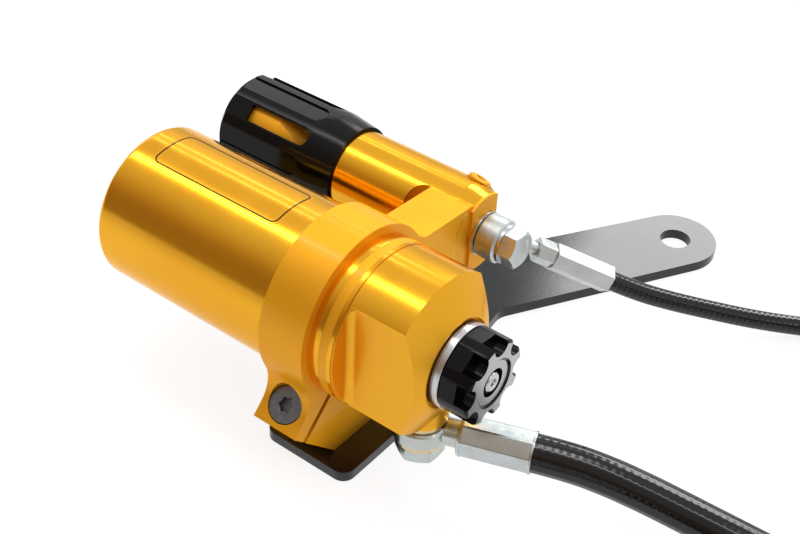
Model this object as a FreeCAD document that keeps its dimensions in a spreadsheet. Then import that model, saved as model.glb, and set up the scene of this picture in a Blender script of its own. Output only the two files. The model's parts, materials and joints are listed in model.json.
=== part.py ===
# Remote reservoir of a motorcycle rear shock absorber, with its hydraulic preload adjuster.
# Frame: millimetres, +Z up. The origin is on the underside of the bracket plate, straight below
# the reservoir axis and in the middle plane of the clamp. +X runs along the reservoir towards the
# compression knob, +Y runs towards the preload adjuster.
import FreeCAD, Part
import math
import os
import re

import Sketcher

os.makedirs("parts", exist_ok=True)
doc = FreeCAD.newDocument("remote_reservoir")
sheet = doc.addObject("Spreadsheet::Sheet", "sizes")
V = FreeCAD.Vector

SIZES = {
    # general fits
    "slip_fit": 0.05,
    "face_gap": 0.3,
    "axis_height": 53,
    # reservoir tube and its gas end
    "tube_radius": 27,
    "tube_wall": 4,
    "tube_left": 82,
    "tube_right": 12.3,
    "tube_edge_round": 2.4,
    "gas_cap_inset": 5.2,
    "gas_cap_length": 12,
    "gas_cap_dish": 4,
    "circlip_thickness": 1.2,
    "circlip_depth": 1.1,
    "circlip_land": 1.6,
    "circlip_gap_angle": 30,
    "seal_section": 1.25,
    "gas_valve_radius": 3.9,
    "gas_valve_length": 9,
    "gas_valve_hex": 9,
    "valve_cap_radius": 3.6,
    "valve_cap_length": 4.5,
    # floating piston
    "piston_rest": 42,
    "piston_length": 16,
    "piston_dish": 9,
    "piston_wall": 3.2,
    "guide_band_width": 4,
    "guide_band_depth": 1.2,
    # clamp bracket
    "clamp_width": 16.9,
    "clamp_wall": 3,
    "clamp_radius": "=tube_radius + clamp_wall",
    "web_top_near": 12.9,
    "web_top_far": 10.4,
    "web_bottom": 14.5,
    "web_fillet": 8,
    "lug_reach": "=clamp_radius + 14.3",
    "lug_face": 2.3,
    "lug_round": 12,
    "slit_offset": 4.2,
    "slit_width": 2,
    "clamp_screw_reach": "=clamp_radius + 6.3",
    "clamp_screw_thread": 3,
    "clamp_head_radius": 6,
    "clamp_head_height": 3.3,
    "clamp_screw_length": 18,
    "clamp_socket_radius": 2.75,
    "clamp_socket_depth": 2.2,
    "foot_far": 15,
    # preload cylinder, part of the bracket
    "preload_y": 61.9,
    "preload_drop": 3.35,
    "preload_radius": 15.45,
    "preload_left": 47.4,
    "preload_shoulder": 1.65,
    "preload_taper_end": 8.45,
    "preload_boss_end": 9.45,
    "preload_bolt_depth": 9,
    "boss_radius": 14,
    "boss_half_width": 7.2,
    "boss_far_flat": 4.6,
    "chamber_radius": 10,
    "chamber_left": 37.4,
    "chamber_right": 16.4,
    "gland_radius": 12.2,
    "port_radius": 1.5,
    "relief_radius": 6.3,
    "relief_y": 49,
    "relief_bottom": 12,
    "bleed_x": -2.3,
    "bleed_angle": 56,
    "bleed_lean": 12,
    "bleed_reach": 16.7,
    "bleed_length": 8,
    "bleed_radius": 4.3,
    "bleed_thread": 2.5,
    # bracket plate
    "plate_thickness": 4,
    "plate_left": 16,
    "plate_right": 18.7,
    "plate_near": 20.5,
    "plate_corner": 4.5,
    "neck_y": 8,
    "neck_right_x": 9.05,
    "neck_left_x": 15,
    "neck_left_y": 20,
    "arm_angle": 60.26,
    "arm_far_angle": 58.7,
    "arm_half_width": 16,
    "arm_hole_x": 36.64,
    "arm_hole_y": 160.26,
    "arm_hole_radius": 5.75,
    "arm_fillet": 8,
    "arm_outer_round": 20,
    "plate_screw_y": 7,
    "plate_screw_thread": 2.5,
    "plate_screw_head": 4.7,
    "plate_screw_length": 12,
    # end cap
    "cap_flange": 5.1,
    "cap_groove": 0.5,
    "cap_body": 19.88,
    "cap_cone": 6.15,
    "cap_nose_radius": 15.5,
    "cap_recess": 1.8,
    "cap_half_flats": 18.58,
    "cap_flat_round": 2.5,
    "spigot_length": 10,
    "spigot_seal_x": 5,
    "oil_bore_radius": 16,
    "oil_bore_depth": 12,
    "port_boss_radius": 8.4,
    "port_boss_drop": 0.25,
    "oil_way": 5,
    "check_chamber": 5.6,
    # compression adjuster
    "ring_radius": 14.06,
    "ring_length": 4.7,
    "ring_groove": 2.5,
    "ring_groove_width": 0.5,
    "housing_thread": 11.9,
    "housing_length": 12,
    "housing_bore": 4.5,
    "housing_stem": 4.4,
    "housing_stem_length": 5,
    "seat_bore": 7,
    "seat_length": 4,
    "seat_hole": 2.7,
    "shim_thickness": 0.4,
    "needle_radius": 3.4,
    "needle_tip": 1.1,
    "needle_cone": 6,
    "needle_length": 14.4,
    "shaft_radius": 2.6,
    "shaft_collar": 1.1,
    "drive_square": 2.4,
    "drive_depth": 4.6,
    "knob_radius": 13.9,
    "knob_base": 5.6,
    "knob_length": 10.4,
    "knob_front_radius": 13.1,
    "knob_facet": 13.46,
    "knob_lobes": 8,
    "knob_lobe_angle": 14,
    "knob_scallop": 3.5,
    "knob_scallop_place": 13.3,
    "knob_dish_radius": 8.4,
    "knob_dish": 0.6,
    "knob_recess": 4.8,
    "knob_recess_depth": 2.4,
    "knob_screw_radius": 3.3,
    "knob_screw_head": 2,
    "knob_screw_thread": 1.2,
    "knob_screw_length": 6,
    "detent_ball_radius": 1.2,
    "detent_place": 8.5,
    "detent_pocket": 6,
    # main hose
    "main_port_x": 32.25,
    "main_washer_radius": 8,
    "main_washer_thickness": 2,
    "washer_thickness": 1.2,
    "main_banjo_radius": 9.2,
    "banjo_edge": 0.8,
    "neck_overlap": 3.5,
    "neck_inset": 1.15,
    "main_banjo_height": 6.4,
    "main_bolt_thread": 5,
    "main_bolt_hex": 14,
    "main_bolt_head": 5,
    "main_bolt_depth": 12,
    "main_hose_angle": 20.3,
    "main_neck_radius": 4.6,
    "main_ferrule_start": 12.5,
    "main_ferrule_end": 36.6,
    "main_ferrule_radius": 7,
    "main_ferrule_flat": 0.4,
    "main_hose_radius": 6.25,
    # preload hose
    "preload_washer_radius": 8,
    "preload_washer_outer": 7,
    "preload_banjo_radius": 7.8,
    "preload_banjo_width": 8,
    "preload_bolt_thread": 4,
    "preload_bolt_hex": 12,
    "preload_bolt_head": 5.5,
    "preload_neck_radius": 2.2,
    "preload_neck_drop": 27,
    "preload_neck_corner": 9.3,
    "preload_hose_yaw": 42.1,
    "preload_hose_pitch": 27.4,
    "preload_nut_start": 11.2,
    "preload_nut_length": 6.8,
    "preload_nut_across": 8,
    "preload_ferrule_length": 23.5,
    "preload_ferrule_radius": 5.1,
    "preload_ferrule_flat": 0.6,
    "preload_ferrule_turn": 46.8,
    "preload_hose_radius": 3.5,
    # preload knob
    "grip_left": 95.95,
    "grip_right": 44.95,
    "grip_radius": 18.05,
    "grip_rim_radius": 16.6,
    "grip_taper": 10.5,
    "grip_end_wall": 5,
    "grip_bore": 15.2,
    "grip_counterbore_length": 15.9,
    "flutes": 10,
    "flute_angle": 131,
    "flute_depth": 1.1,
    "flute_width": 7.6,
    "flute_end": 13.2,
    "window_width": 6.2,
    "window_left": 8.8,
    "window_end": 13.4,
    "spindle_radius": 15,
    "spindle_barrel": 17.1,
    "spindle_cone": 11.5,
    "spindle_neck": 7.5,
    "spindle_shaft": 5,
    "grip_screw_radius": 4.5,
    "grip_screw_head": 2.6,
    "grip_screw_thread": 2.5,
    "grip_screw_length": 10,
    "grip_edge": 1.2,
    "drive_piston_length": 8,
    "thrust_ball_radius": 2.5,
}

for row, (name, size) in enumerate(SIZES.items(), start=1):
    sheet.set(f"A{row}", name)
    sheet.set(f"B{row}", str(size))
    sheet.setAlias(f"B{row}", name)
doc.recompute()

NAMES = re.compile(r"\b(" + "|".join(sorted(SIZES, key=len, reverse=True)) + r")\b")
parts = {}


def bound(words):
    """The expression with the sheet named before each of its sizes."""
    return NAMES.sub(r"sizes.\1", str(words))


def value(words):
    """The present number of an expression."""
    return float(sheet.evalExpression(bound(words)))


def bind(thing, prop, words):
    thing.setExpression(prop, bound(words))


def new_body(label, x="0", y="0", z="0", turn=None):
    """An empty body in its place: turn is a fixed rotation of its own axes."""
    body = doc.addObject("PartDesign::Body", "body_" + label)
    body.Label = label
    parts[label] = body
    if turn is not None:
        body.Placement = FreeCAD.Placement(V(0, 0, 0), turn)
    for axis, words in zip("xyz", (x, y, z)):
        bind(body, "Placement.Base." + axis, words)
    return body


def new_sketch(body, plane="XY", shift=("0", "0", "0"), turn=None):
    """An empty sketch on one of the body's own planes. shift runs along the plane's own axes."""
    sketch = body.newObject("Sketcher::SketchObject", "sketch_" + body.Label)
    base = [f for f in body.Origin.OriginFeatures if f.Role == plane + "_Plane"][0]
    sketch.AttachmentSupport = [(base, "")]
    sketch.MapMode = "FlatFace"
    if turn is not None:
        sketch.AttachmentOffset = FreeCAD.Placement(V(0, 0, 0), turn)
    for axis, words in zip("xyz", shift):
        if words != "0":
            bind(sketch, "AttachmentOffset.Base." + axis, words)
    return sketch


def fix_point(sketch, geometry, end, x, y):
    """Binds one point of a sketch to its two expressions."""
    for kind, words in (("DistanceX", x), ("DistanceY", y)):
        number = sketch.addConstraint(Sketcher.Constraint(kind, -1, 1, geometry, end, value(words)))
        bind(sketch, f"Constraints[{number}]", words)


def polygon(sketch, points):
    """A closed outline through points, each a pair of expressions."""
    first = len(sketch.Geometry)
    corners = [V(value(x), value(y), 0) for x, y in points]
    count = len(corners)
    for i in range(count):
        sketch.addGeometry(Part.LineSegment(corners[i], corners[(i + 1) % count]), False)
    for i in range(count):
        joint = Sketcher.Constraint("Coincident", first + i, 2, first + (i + 1) % count, 1)
        sketch.addConstraint(joint)
    for i, (x, y) in enumerate(points):
        fix_point(sketch, first + i, 1, x, y)


def circle(sketch, x, y, radius):
    centre = V(value(x), value(y), 0)
    number = sketch.addGeometry(Part.Circle(centre, V(0, 0, 1), value(radius)), False)
    fix_point(sketch, number, 3, x, y)
    size = sketch.addConstraint(Sketcher.Constraint("Radius", number, value(radius)))
    bind(sketch, f"Constraints[{size}]", radius)


def hexagon(sketch, across, x="0", y="0"):
    """A hexagon with its corners on the sketch's first axis."""
    points = []
    for i in range(6):
        points.append((
            f"({x}) + ({across}) / sqrt(3) * cos({60 * i} * 1deg)",
            f"({y}) + ({across}) / sqrt(3) * sin({60 * i} * 1deg)",
        ))
    polygon(sketch, points)


def revolve(body, sketch, cut=False):
    kind = "PartDesign::Groove" if cut else "PartDesign::Revolution"
    feature = body.newObject(kind, "turned_" + body.Label)
    feature.Profile = (sketch, [""])
    feature.ReferenceAxis = (sketch, ["H_Axis"])
    feature.Angle = 360
    sketch.Visibility = False
    return feature


def extrude(body, sketch, length, cut=False, both=False, back=False):
    kind = "PartDesign::Pocket" if cut else "PartDesign::Pad"
    feature = body.newObject(kind, "prism_" + body.Label)
    feature.Profile = (sketch, [""])
    feature.Type = 0
    feature.Midplane = both
    feature.Reversed = back
    bind(feature, "Length", length)
    sketch.Visibility = False
    return feature


def removes(body, make):
    """Makes a cutting feature and checks that the solid lost volume by it."""
    doc.recompute()
    before = body.Shape.Volume
    feature = make()
    doc.recompute()
    if body.Shape.Volume >= before - 0.001:
        raise RuntimeError(f"{feature.Label} of {body.Label} cuts nothing")
    return feature


def around(body, feature, count):
    """Repeats a feature evenly round the body's own X axis."""
    pattern = body.newObject("PartDesign::PolarPattern", "pattern_" + body.Label)
    pattern.Originals = [feature]
    axis = [f for f in body.Origin.OriginFeatures if f.Role == "X_Axis"][0]
    pattern.Axis = (axis, [""])
    pattern.Angle = 360
    bind(pattern, "Occurrences", count)
    body.Tip = pattern
    return pattern


def edges_where(shape, test):
    """The names of the edges for which the test holds."""
    return [f"Edge{i}" for i, edge in enumerate(shape.Edges, start=1) if test(edge)]


def soften(body, test, radius, kind="PartDesign::Fillet"):
    """A fillet, or a chamfer, on the edges of the body's last feature that pass the test."""
    doc.recompute()
    last = body.Tip
    names = edges_where(last.Shape, test)
    if not names:
        raise RuntimeError("no edge to soften on " + body.Label)
    feature = body.newObject(kind, "soft_" + body.Label)
    feature.Base = (last, names)
    bind(feature, "Radius" if kind == "PartDesign::Fillet" else "Size", radius)
    return feature


def turned(label, points, x="0", y="0", z="axis_height", turn=None):
    """A turned piece: points are (distance along its axis, radius)."""
    body = new_body(label, x, y, z, turn)
    sketch = new_sketch(body)
    polygon(sketch, points)
    revolve(body, sketch)
    return body


def groove(body, points):
    """A turned cut round the body's own X axis."""
    sketch = new_sketch(body)
    polygon(sketch, points)
    return removes(body, lambda: revolve(body, sketch, cut=True))


def ring(label, section, radius, x, y="0", z="axis_height", turn=None):
    """An O-ring: section and radius are those of its round cord and of its centre circle."""
    body = new_body(label, x, y, z, turn)
    sketch = new_sketch(body)
    circle(sketch, "0", radius, section)
    revolve(body, sketch)
    return body


def near(number, target, slack=0.05):
    return abs(number - target) < slack


TO_Z = FreeCAD.Rotation(V(0, 1, 0), -90)

# Places along the reservoir that several pieces share
BORE = "(tube_radius - tube_wall)"
CAP_SHOULDER = "(tube_right + cap_flange)"
CAP_CONE_START = "(tube_right + cap_flange + cap_body)"
CAP_NOSE = "(tube_right + cap_flange + cap_body + cap_cone)"
RING_BACK = f"({CAP_NOSE} - cap_recess)"
RING_FRONT = f"({RING_BACK} + ring_length)"
KNOB_BACK = f"({RING_FRONT} + face_gap)"
KNOB_FRONT = f"({KNOB_BACK} + knob_length)"
HOUSING_BACK = f"({RING_BACK} - housing_length)"
SEAT_BACK = f"({HOUSING_BACK} - seat_length)"
GAS_CAP_LEFT = "(gas_cap_inset - tube_left)"
GAS_CAP_RIGHT = f"({GAS_CAP_LEFT} + gas_cap_length)"
CHAMBER_BACK = f"({SEAT_BACK} - check_chamber)"
PRELOAD_Z = "(axis_height - preload_drop)"
PRELOAD_SHIFT = ("0", "preload_y", "-preload_drop")
FOOT_DROP = "(axis_height - plate_thickness)"
BLEED_SEAT = "(preload_radius - 1)"
LUG_TURN = FreeCAD.Rotation(V(0, 0, 1), -135)
SCREW_TURN = FreeCAD.Rotation(V(0, 0, 1), -45)
SCREW_SHIFT = ("-clamp_screw_reach / sqrt(2)", "-clamp_screw_reach / sqrt(2)", "0")
SCREW_SEAT = "(clamp_head_height - lug_face)"


def reservoir_tube():
    """The gas and oil cylinder, open at both ends, with a rounded left rim and a circlip groove."""
    body = turned("reservoir_tube", [
        ("-tube_left", BORE),
        ("tube_right", BORE),
        ("tube_right", "tube_radius"),
        ("-tube_left", "tube_radius"),
    ])
    clip = f"({GAS_CAP_LEFT} - circlip_thickness - 2 * slip_fit)"
    groove(body, [
        (clip, f"{BORE} - 1"),
        (GAS_CAP_LEFT, f"{BORE} - 1"),
        (GAS_CAP_LEFT, f"{BORE} + circlip_depth + slip_fit"),
        (clip, f"{BORE} + circlip_depth + slip_fit"),
    ])
    rim = value("-tube_left")
    outer = value("tube_radius")
    soften(body, lambda e: near(e.BoundBox.XMax, rim) and near(e.BoundBox.YMax, outer),
           "tube_edge_round")


def gas_end():
    """The gas end: a sealed plug held by a circlip, with its filling valve and the valve's cap."""
    plug = turned("gas_end_cap", [
        (GAS_CAP_LEFT, "gas_valve_radius"),
        (GAS_CAP_RIGHT, "gas_valve_radius"),
        (GAS_CAP_RIGHT, f"{BORE} - slip_fit"),
        (GAS_CAP_LEFT, f"{BORE} - slip_fit"),
        (GAS_CAP_LEFT, f"{BORE} - circlip_land - 2.4"),
        (f"{GAS_CAP_LEFT} + gas_cap_dish", f"{BORE} - circlip_land - 3.6"),
        (f"{GAS_CAP_LEFT} + gas_cap_dish", "gas_valve_hex / 2 + 2.5"),
        (GAS_CAP_LEFT, "gas_valve_hex / 2 + 2.5"),
    ])
    middle = f"({GAS_CAP_RIGHT} - gas_cap_length / 3)"
    seal_seat(plug, middle, f"{BORE}")
    ring("gas_end_o_ring", "seal_section", f"{BORE} - seal_section - slip_fit / 2", middle)

    clip = turned("gas_end_circlip", [
        ("0", f"{BORE} - circlip_land"),
        ("circlip_thickness", f"{BORE} - circlip_land"),
        ("circlip_thickness", f"{BORE} + circlip_depth"),
        ("0", f"{BORE} + circlip_depth"),
    ], x=f"{GAS_CAP_LEFT} - circlip_thickness - slip_fit")
    opening = new_sketch(clip, "YZ")
    reach = "(tube_radius + 2)"
    polygon(opening, [
        ("0", "0"),
        (f"-{reach} * sin(circlip_gap_angle / 2 * 1deg)", f"{reach} * cos(circlip_gap_angle / 2 * 1deg)"),
        (f"{reach} * sin(circlip_gap_angle / 2 * 1deg)", f"{reach} * cos(circlip_gap_angle / 2 * 1deg)"),
    ])
    removes(clip, lambda: extrude(clip, opening, "4 * circlip_thickness", cut=True, both=True))

    valve = turned("gas_valve", [
        ("-gas_valve_length + 4.5", "0"),
        ("gas_valve_length", "0"),
        ("gas_valve_length", "gas_valve_radius - slip_fit"),
        ("0", "gas_valve_radius - slip_fit"),
        ("0", "gas_valve_hex / 2"),
        ("-1.6", "gas_valve_hex / 2"),
        ("-1.6", "valve_cap_radius - 1.2"),
        ("-gas_valve_length + 4.5", "valve_cap_radius - 1.2"),
    ], x=GAS_CAP_LEFT)
    spout = new_sketch(valve, "YZ", shift=("0", "0", "-gas_valve_length"))
    circle(spout, "0", "0", "0.8")
    removes(valve, lambda: extrude(valve, spout, "gas_valve_length", cut=True, back=True))

    turned("gas_valve_cap", [
        ("-valve_cap_length", "0"),
        ("-valve_cap_length", "valve_cap_radius"),
        ("0", "valve_cap_radius"),
        ("0", "valve_cap_radius - 1.2 + slip_fit"),
        ("-valve_cap_length + 1.2", "valve_cap_radius - 1.2 + slip_fit"),
        ("-valve_cap_length + 1.2", "0"),
    ], x=f"{GAS_CAP_LEFT} - 1.6 - slip_fit")


def seal_seat(body, x, bore):
    """The groove of an O-ring that seals against a bore."""
    return groove(body, [
        (f"{x} - seal_section * 1.25", f"{bore} - 2 * seal_section - slip_fit"),
        (f"{x} + seal_section * 1.25", f"{bore} - 2 * seal_section - slip_fit"),
        (f"{x} + seal_section * 1.25", f"{bore} + 1"),
        (f"{x} - seal_section * 1.25", f"{bore} + 1"),
    ])


def floating_piston():
    """The cup that parts gas from oil, with its O-ring and guide band."""
    left = "(-piston_rest)"
    right = "(-piston_rest + piston_length)"
    cup = turned("floating_piston", [
        (f"{left} + piston_dish", "0"),
        (right, "0"),
        (right, f"{BORE} - slip_fit"),
        (left, f"{BORE} - slip_fit"),
        (left, f"{BORE} - slip_fit - piston_wall"),
        (f"{left} + piston_dish", f"{BORE} - slip_fit - piston_wall"),
    ])
    seal_x = f"({right} - piston_length / 4)"
    seal_seat(cup, seal_x, BORE)
    band = f"({left} + piston_length / 6)"
    groove(cup, [
        (f"{band} - slip_fit", f"{BORE} - guide_band_depth - slip_fit"),
        (f"{band} + guide_band_width + slip_fit", f"{BORE} - guide_band_depth - slip_fit"),
        (f"{band} + guide_band_width + slip_fit", f"{BORE} + 1"),
        (f"{band} - slip_fit", f"{BORE} + 1"),
    ])
    ring("piston_o_ring", "seal_section", f"{BORE} - seal_section - slip_fit / 2", seal_x)
    turned("piston_guide_band", [
        (band, f"{BORE} - guide_band_depth"),
        (f"{band} + guide_band_width", f"{BORE} - guide_band_depth"),
        (f"{band} + guide_band_width", f"{BORE} - slip_fit / 2"),
        (band, f"{BORE} - slip_fit / 2"),
    ])


def reservoir_bracket():
    """One billet piece: split clamp ring, clamp lug, foot, web and the preload cylinder."""
    body = new_body("reservoir_bracket", z="axis_height")
    disc = new_sketch(body, "YZ")
    circle(disc, "0", "0", "clamp_radius")
    extrude(body, disc, "clamp_width", both=True)

    web = new_sketch(body, "YZ")
    polygon(web, [
        ("clamp_radius * 0.7", "web_top_near"),
        ("preload_y - preload_radius * 0.45", "web_top_far"),
        ("preload_y", "web_top_far - 2"),
        ("preload_y", "-preload_drop - preload_radius * 0.6"),
        ("clamp_radius * 0.7", "-web_bottom - 3.5"),
    ])
    extrude(body, web, "clamp_width", both=True)

    lug = new_sketch(body, "YZ", turn=LUG_TURN)
    lug_outline(lug)
    extrude(body, lug, "clamp_width", both=True)

    foot = new_sketch(body, "YZ")
    polygon(foot, [
        (f"{FOOT_DROP} - lug_reach * sqrt(2)", f"-{FOOT_DROP}"),
        ("foot_far", f"-{FOOT_DROP}"),
        ("foot_far", "-clamp_radius * 0.8"),
        ("0", "-clamp_radius * 0.92"),
        ("3 - lug_reach / sqrt(2)", "-3 - lug_reach / sqrt(2)"),
    ])
    extrude(body, foot, "clamp_width", both=True)

    barrel = new_sketch(body, "XY", shift=PRELOAD_SHIFT)
    polygon(barrel, [
        ("-preload_left", "0"),
        ("preload_boss_end", "0"),
        ("preload_boss_end", "boss_radius"),
        ("preload_taper_end", "boss_radius"),
        ("preload_shoulder", "preload_radius"),
        ("-preload_left", "preload_radius"),
    ])
    revolve(body, barrel)

    root_y = value("sqrt(clamp_radius^2 - web_top_near^2)")
    root_z = value("web_top_near")

    def on_web_root(edge):
        box = edge.BoundBox
        along_x = box.XLength > value("clamp_width / 2")
        return along_x and near(box.YMin, root_y, 2) and near(box.ZMin, root_z, 1.5)

    soften(body, on_web_root, "web_fillet")

    bore = new_sketch(body, "YZ")
    circle(bore, "0", "0", "tube_radius")
    removes(body, lambda: extrude(body, bore, "3 * clamp_width", cut=True, both=True))

    slit = new_sketch(body, "YZ", turn=LUG_TURN)
    polygon(slit, [
        ("tube_radius * 0.9", "slit_offset - slit_width / 2"),
        ("lug_reach + 5", "slit_offset - slit_width / 2"),
        ("lug_reach + 5", "slit_offset + slit_width / 2"),
        ("tube_radius * 0.9", "slit_offset + slit_width / 2"),
    ])
    removes(body, lambda: extrude(body, slit, "3 * clamp_width", cut=True, both=True))

    screw = new_sketch(body, "YZ", turn=SCREW_TURN, shift=SCREW_SHIFT)
    polygon(screw, [
        ("-2 * clamp_radius", "0"),
        (f"{SCREW_SEAT} + clamp_screw_length + 1", "0"),
        (f"{SCREW_SEAT} + clamp_screw_length + 1", "clamp_screw_thread"),
        ("slit_offset", "clamp_screw_thread"),
        ("slit_offset", "clamp_screw_thread + face_gap"),
        (SCREW_SEAT, "clamp_screw_thread + face_gap"),
        (SCREW_SEAT, "clamp_head_radius + face_gap"),
        ("-2 * clamp_radius", "clamp_head_radius + face_gap"),
    ])
    removes(body, lambda: revolve(body, screw, cut=True))

    for side, start in ((1, "boss_far_flat"), (-1, "preload_taper_end")):
        ears = new_sketch(body, "YZ", shift=("0", "0", start))
        inner = f"preload_y + {side} * boss_half_width"
        outer = f"preload_y + {side} * 2 * preload_radius"
        polygon(ears, [
            (inner, "-preload_drop - 2 * preload_radius"),
            (outer, "-preload_drop - 2 * preload_radius"),
            (outer, "-preload_drop + 2 * preload_radius"),
            (inner, "-preload_drop + 2 * preload_radius"),
        ])
        removes(body, lambda: extrude(body, ears, "preload_boss_end", cut=True, back=True))

    hollow = new_sketch(body, "XY", shift=PRELOAD_SHIFT)
    polygon(hollow, [
        ("-preload_left - 1", "0"),
        ("preload_boss_end + 1", "0"),
        ("preload_boss_end + 1", "preload_bolt_thread"),
        ("preload_boss_end - preload_bolt_depth", "preload_bolt_thread"),
        ("preload_boss_end - preload_bolt_depth", "port_radius"),
        ("-chamber_right", "port_radius"),
        ("-chamber_right", "chamber_radius"),
        ("-chamber_left", "chamber_radius"),
        ("-chamber_left", "gland_radius"),
        ("-preload_left - 1", "gland_radius"),
    ])
    removes(body, lambda: revolve(body, hollow, cut=True))

    relief = new_sketch(body, "XY", shift=("0", "0", "-relief_bottom"))
    half_disc(relief, "-clamp_width / 2", "relief_y", "relief_radius")
    removes(body, lambda: extrude(body, relief, "2 * clamp_radius", cut=True, back=True))

    bleed = new_sketch(body, "XY", shift=("bleed_x", "preload_y", "-preload_drop"),
                       turn=bleed_turn())
    polygon(bleed, [
        ("0", "0"),
        ("2 * preload_radius", "0"),
        ("2 * preload_radius", "bleed_radius + face_gap"),
        (BLEED_SEAT, "bleed_radius + face_gap"),
        (BLEED_SEAT, "bleed_thread"),
        (f"{BLEED_SEAT} - bleed_length", "bleed_thread"),
        (f"{BLEED_SEAT} - bleed_length", "port_radius / 2"),
        ("0", "port_radius / 2"),
    ])
    removes(body, lambda: revolve(body, bleed, cut=True))

    for side in (1, -1):
        hole = new_sketch(body, "XY", shift=("0", "0", f"-{FOOT_DROP}"))
        circle(hole, "0", f"{side} * plate_screw_y", "plate_screw_thread")
        depth = "plate_screw_length - plate_thickness + 0.5"
        removes(body, lambda: extrude(body, hole, depth, cut=True, back=True))


def bleed_turn():
    """The turn that lays a sketch's first axis along the bleed screw."""
    out = bleed_way()
    return FreeCAD.Rotation(out, V(1, 0, 0), out.cross(V(1, 0, 0)), "XYZ")


def bleed_way():
    """The bleed screw's direction, which leans towards the cylinder's taper."""
    angle = math.radians(value("bleed_angle"))
    lean = math.radians(value("bleed_lean"))
    return V(math.sin(lean), math.cos(angle) * math.cos(lean), math.sin(angle) * math.cos(lean))


def half_disc(sketch, x, y, radius):
    """Half a disc on the low side of x."""
    centre = V(value(x), value(y), 0)
    size = value(radius)
    arc = Part.ArcOfCircle(Part.Circle(centre, V(0, 0, 1), size), math.pi / 2, 3 * math.pi / 2)
    sketch.addGeometry(arc, False)
    top = V(centre.x, centre.y + size, 0)
    bottom = V(centre.x, centre.y - size, 0)
    sketch.addGeometry(Part.LineSegment(bottom, top), False)
    sketch.addConstraint(Sketcher.Constraint("Coincident", 0, 2, 1, 1))
    sketch.addConstraint(Sketcher.Constraint("Coincident", 1, 2, 0, 1))
    fix_point(sketch, 0, 3, x, y)
    fix_point(sketch, 0, 1, x, f"{y} + {radius}")
    number = sketch.addConstraint(Sketcher.Constraint("DistanceX", -1, 1, 0, 2, centre.x))
    bind(sketch, f"Constraints[{number}]", x)


def lug_outline(sketch):
    """The clamp lug: a hollow arc from the ring to the flat ear, the 45 degree facet, and the foot side."""
    centre_w = "(-lug_face - lug_round)"
    centre_u = f"sqrt((clamp_radius + lug_round)^2 - {centre_w}^2)"
    share = "clamp_radius / (clamp_radius + lug_round)"
    touch = (f"{centre_u} * {share}", f"{centre_w} * {share}")
    centre = V(value(centre_u), value(centre_w), 0)
    outward = V(value(touch[0]), value(touch[1]), 0) - centre
    arc = Part.Circle(centre, V(0, 0, 1), value("lug_round"))
    sketch.addGeometry(Part.ArcOfCircle(arc, math.pi / 2, math.atan2(outward.y, outward.x)), False)
    outline = [
        (centre_u, "-lug_face"),
        ("lug_reach", "-lug_face"),
        ("lug_reach", f"{FOOT_DROP} * sqrt(2) - lug_reach"),
        ("clamp_radius * 0.8", "clamp_radius * 0.55"),
        ("clamp_radius * 0.7", "0"),
        touch,
    ]
    corners = [V(value(x), value(y), 0) for x, y in outline]
    last = len(corners) - 1
    for i in range(last):
        sketch.addGeometry(Part.LineSegment(corners[i], corners[i + 1]), False)
    sketch.addConstraint(Sketcher.Constraint("Coincident", 0, 1, 1, 1))
    for i in range(1, last):
        sketch.addConstraint(Sketcher.Constraint("Coincident", i, 2, i + 1, 1))
    sketch.addConstraint(Sketcher.Constraint("Coincident", last, 2, 0, 2))
    fix_point(sketch, 0, 3, centre_u, centre_w)
    for i in range(last):
        fix_point(sketch, i + 1, 1, *outline[i])
    number = sketch.addConstraint(Sketcher.Constraint("DistanceY", -1, 1, 0, 2, value(touch[1])))
    bind(sketch, f"Constraints[{number}]", touch[1])


def clamp_screw():
    """The screw that draws the two ears together, its head sunk flush in the ear."""
    body = turned("clamp_screw", [
        (f"{SCREW_SEAT} - clamp_head_height", "0"),
        (f"{SCREW_SEAT} + clamp_screw_length", "0"),
        (f"{SCREW_SEAT} + clamp_screw_length", "clamp_screw_thread - slip_fit"),
        (SCREW_SEAT, "clamp_screw_thread - slip_fit"),
        (SCREW_SEAT, "clamp_head_radius"),
        (f"{SCREW_SEAT} - clamp_head_height", "clamp_head_radius"),
    ], y="-clamp_screw_reach / sqrt(2)", z="axis_height - clamp_screw_reach / sqrt(2)",
        turn=FreeCAD.Rotation(V(1, 0, 0), V(0, 1, -1)))
    top = f"({SCREW_SEAT} - clamp_head_height)"
    star_socket(body, top, "clamp_socket_radius", "clamp_socket_depth", back=True)


def star_socket(body, top, radius, depth, back=False):
    """A six-pointed drive socket sunk into a screw head that lies at top on the body's X axis."""
    sketch = new_sketch(body, "YZ", shift=("0", "0", top))
    points = []
    for i in range(12):
        reach = radius if i % 2 == 0 else f"{radius} * 0.74"
        points.append((f"{reach} * cos({30 * i} * 1deg)", f"{reach} * sin({30 * i} * 1deg)"))
    polygon(sketch, points)
    return removes(body, lambda: extrude(body, sketch, depth, cut=True, back=back))


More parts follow.
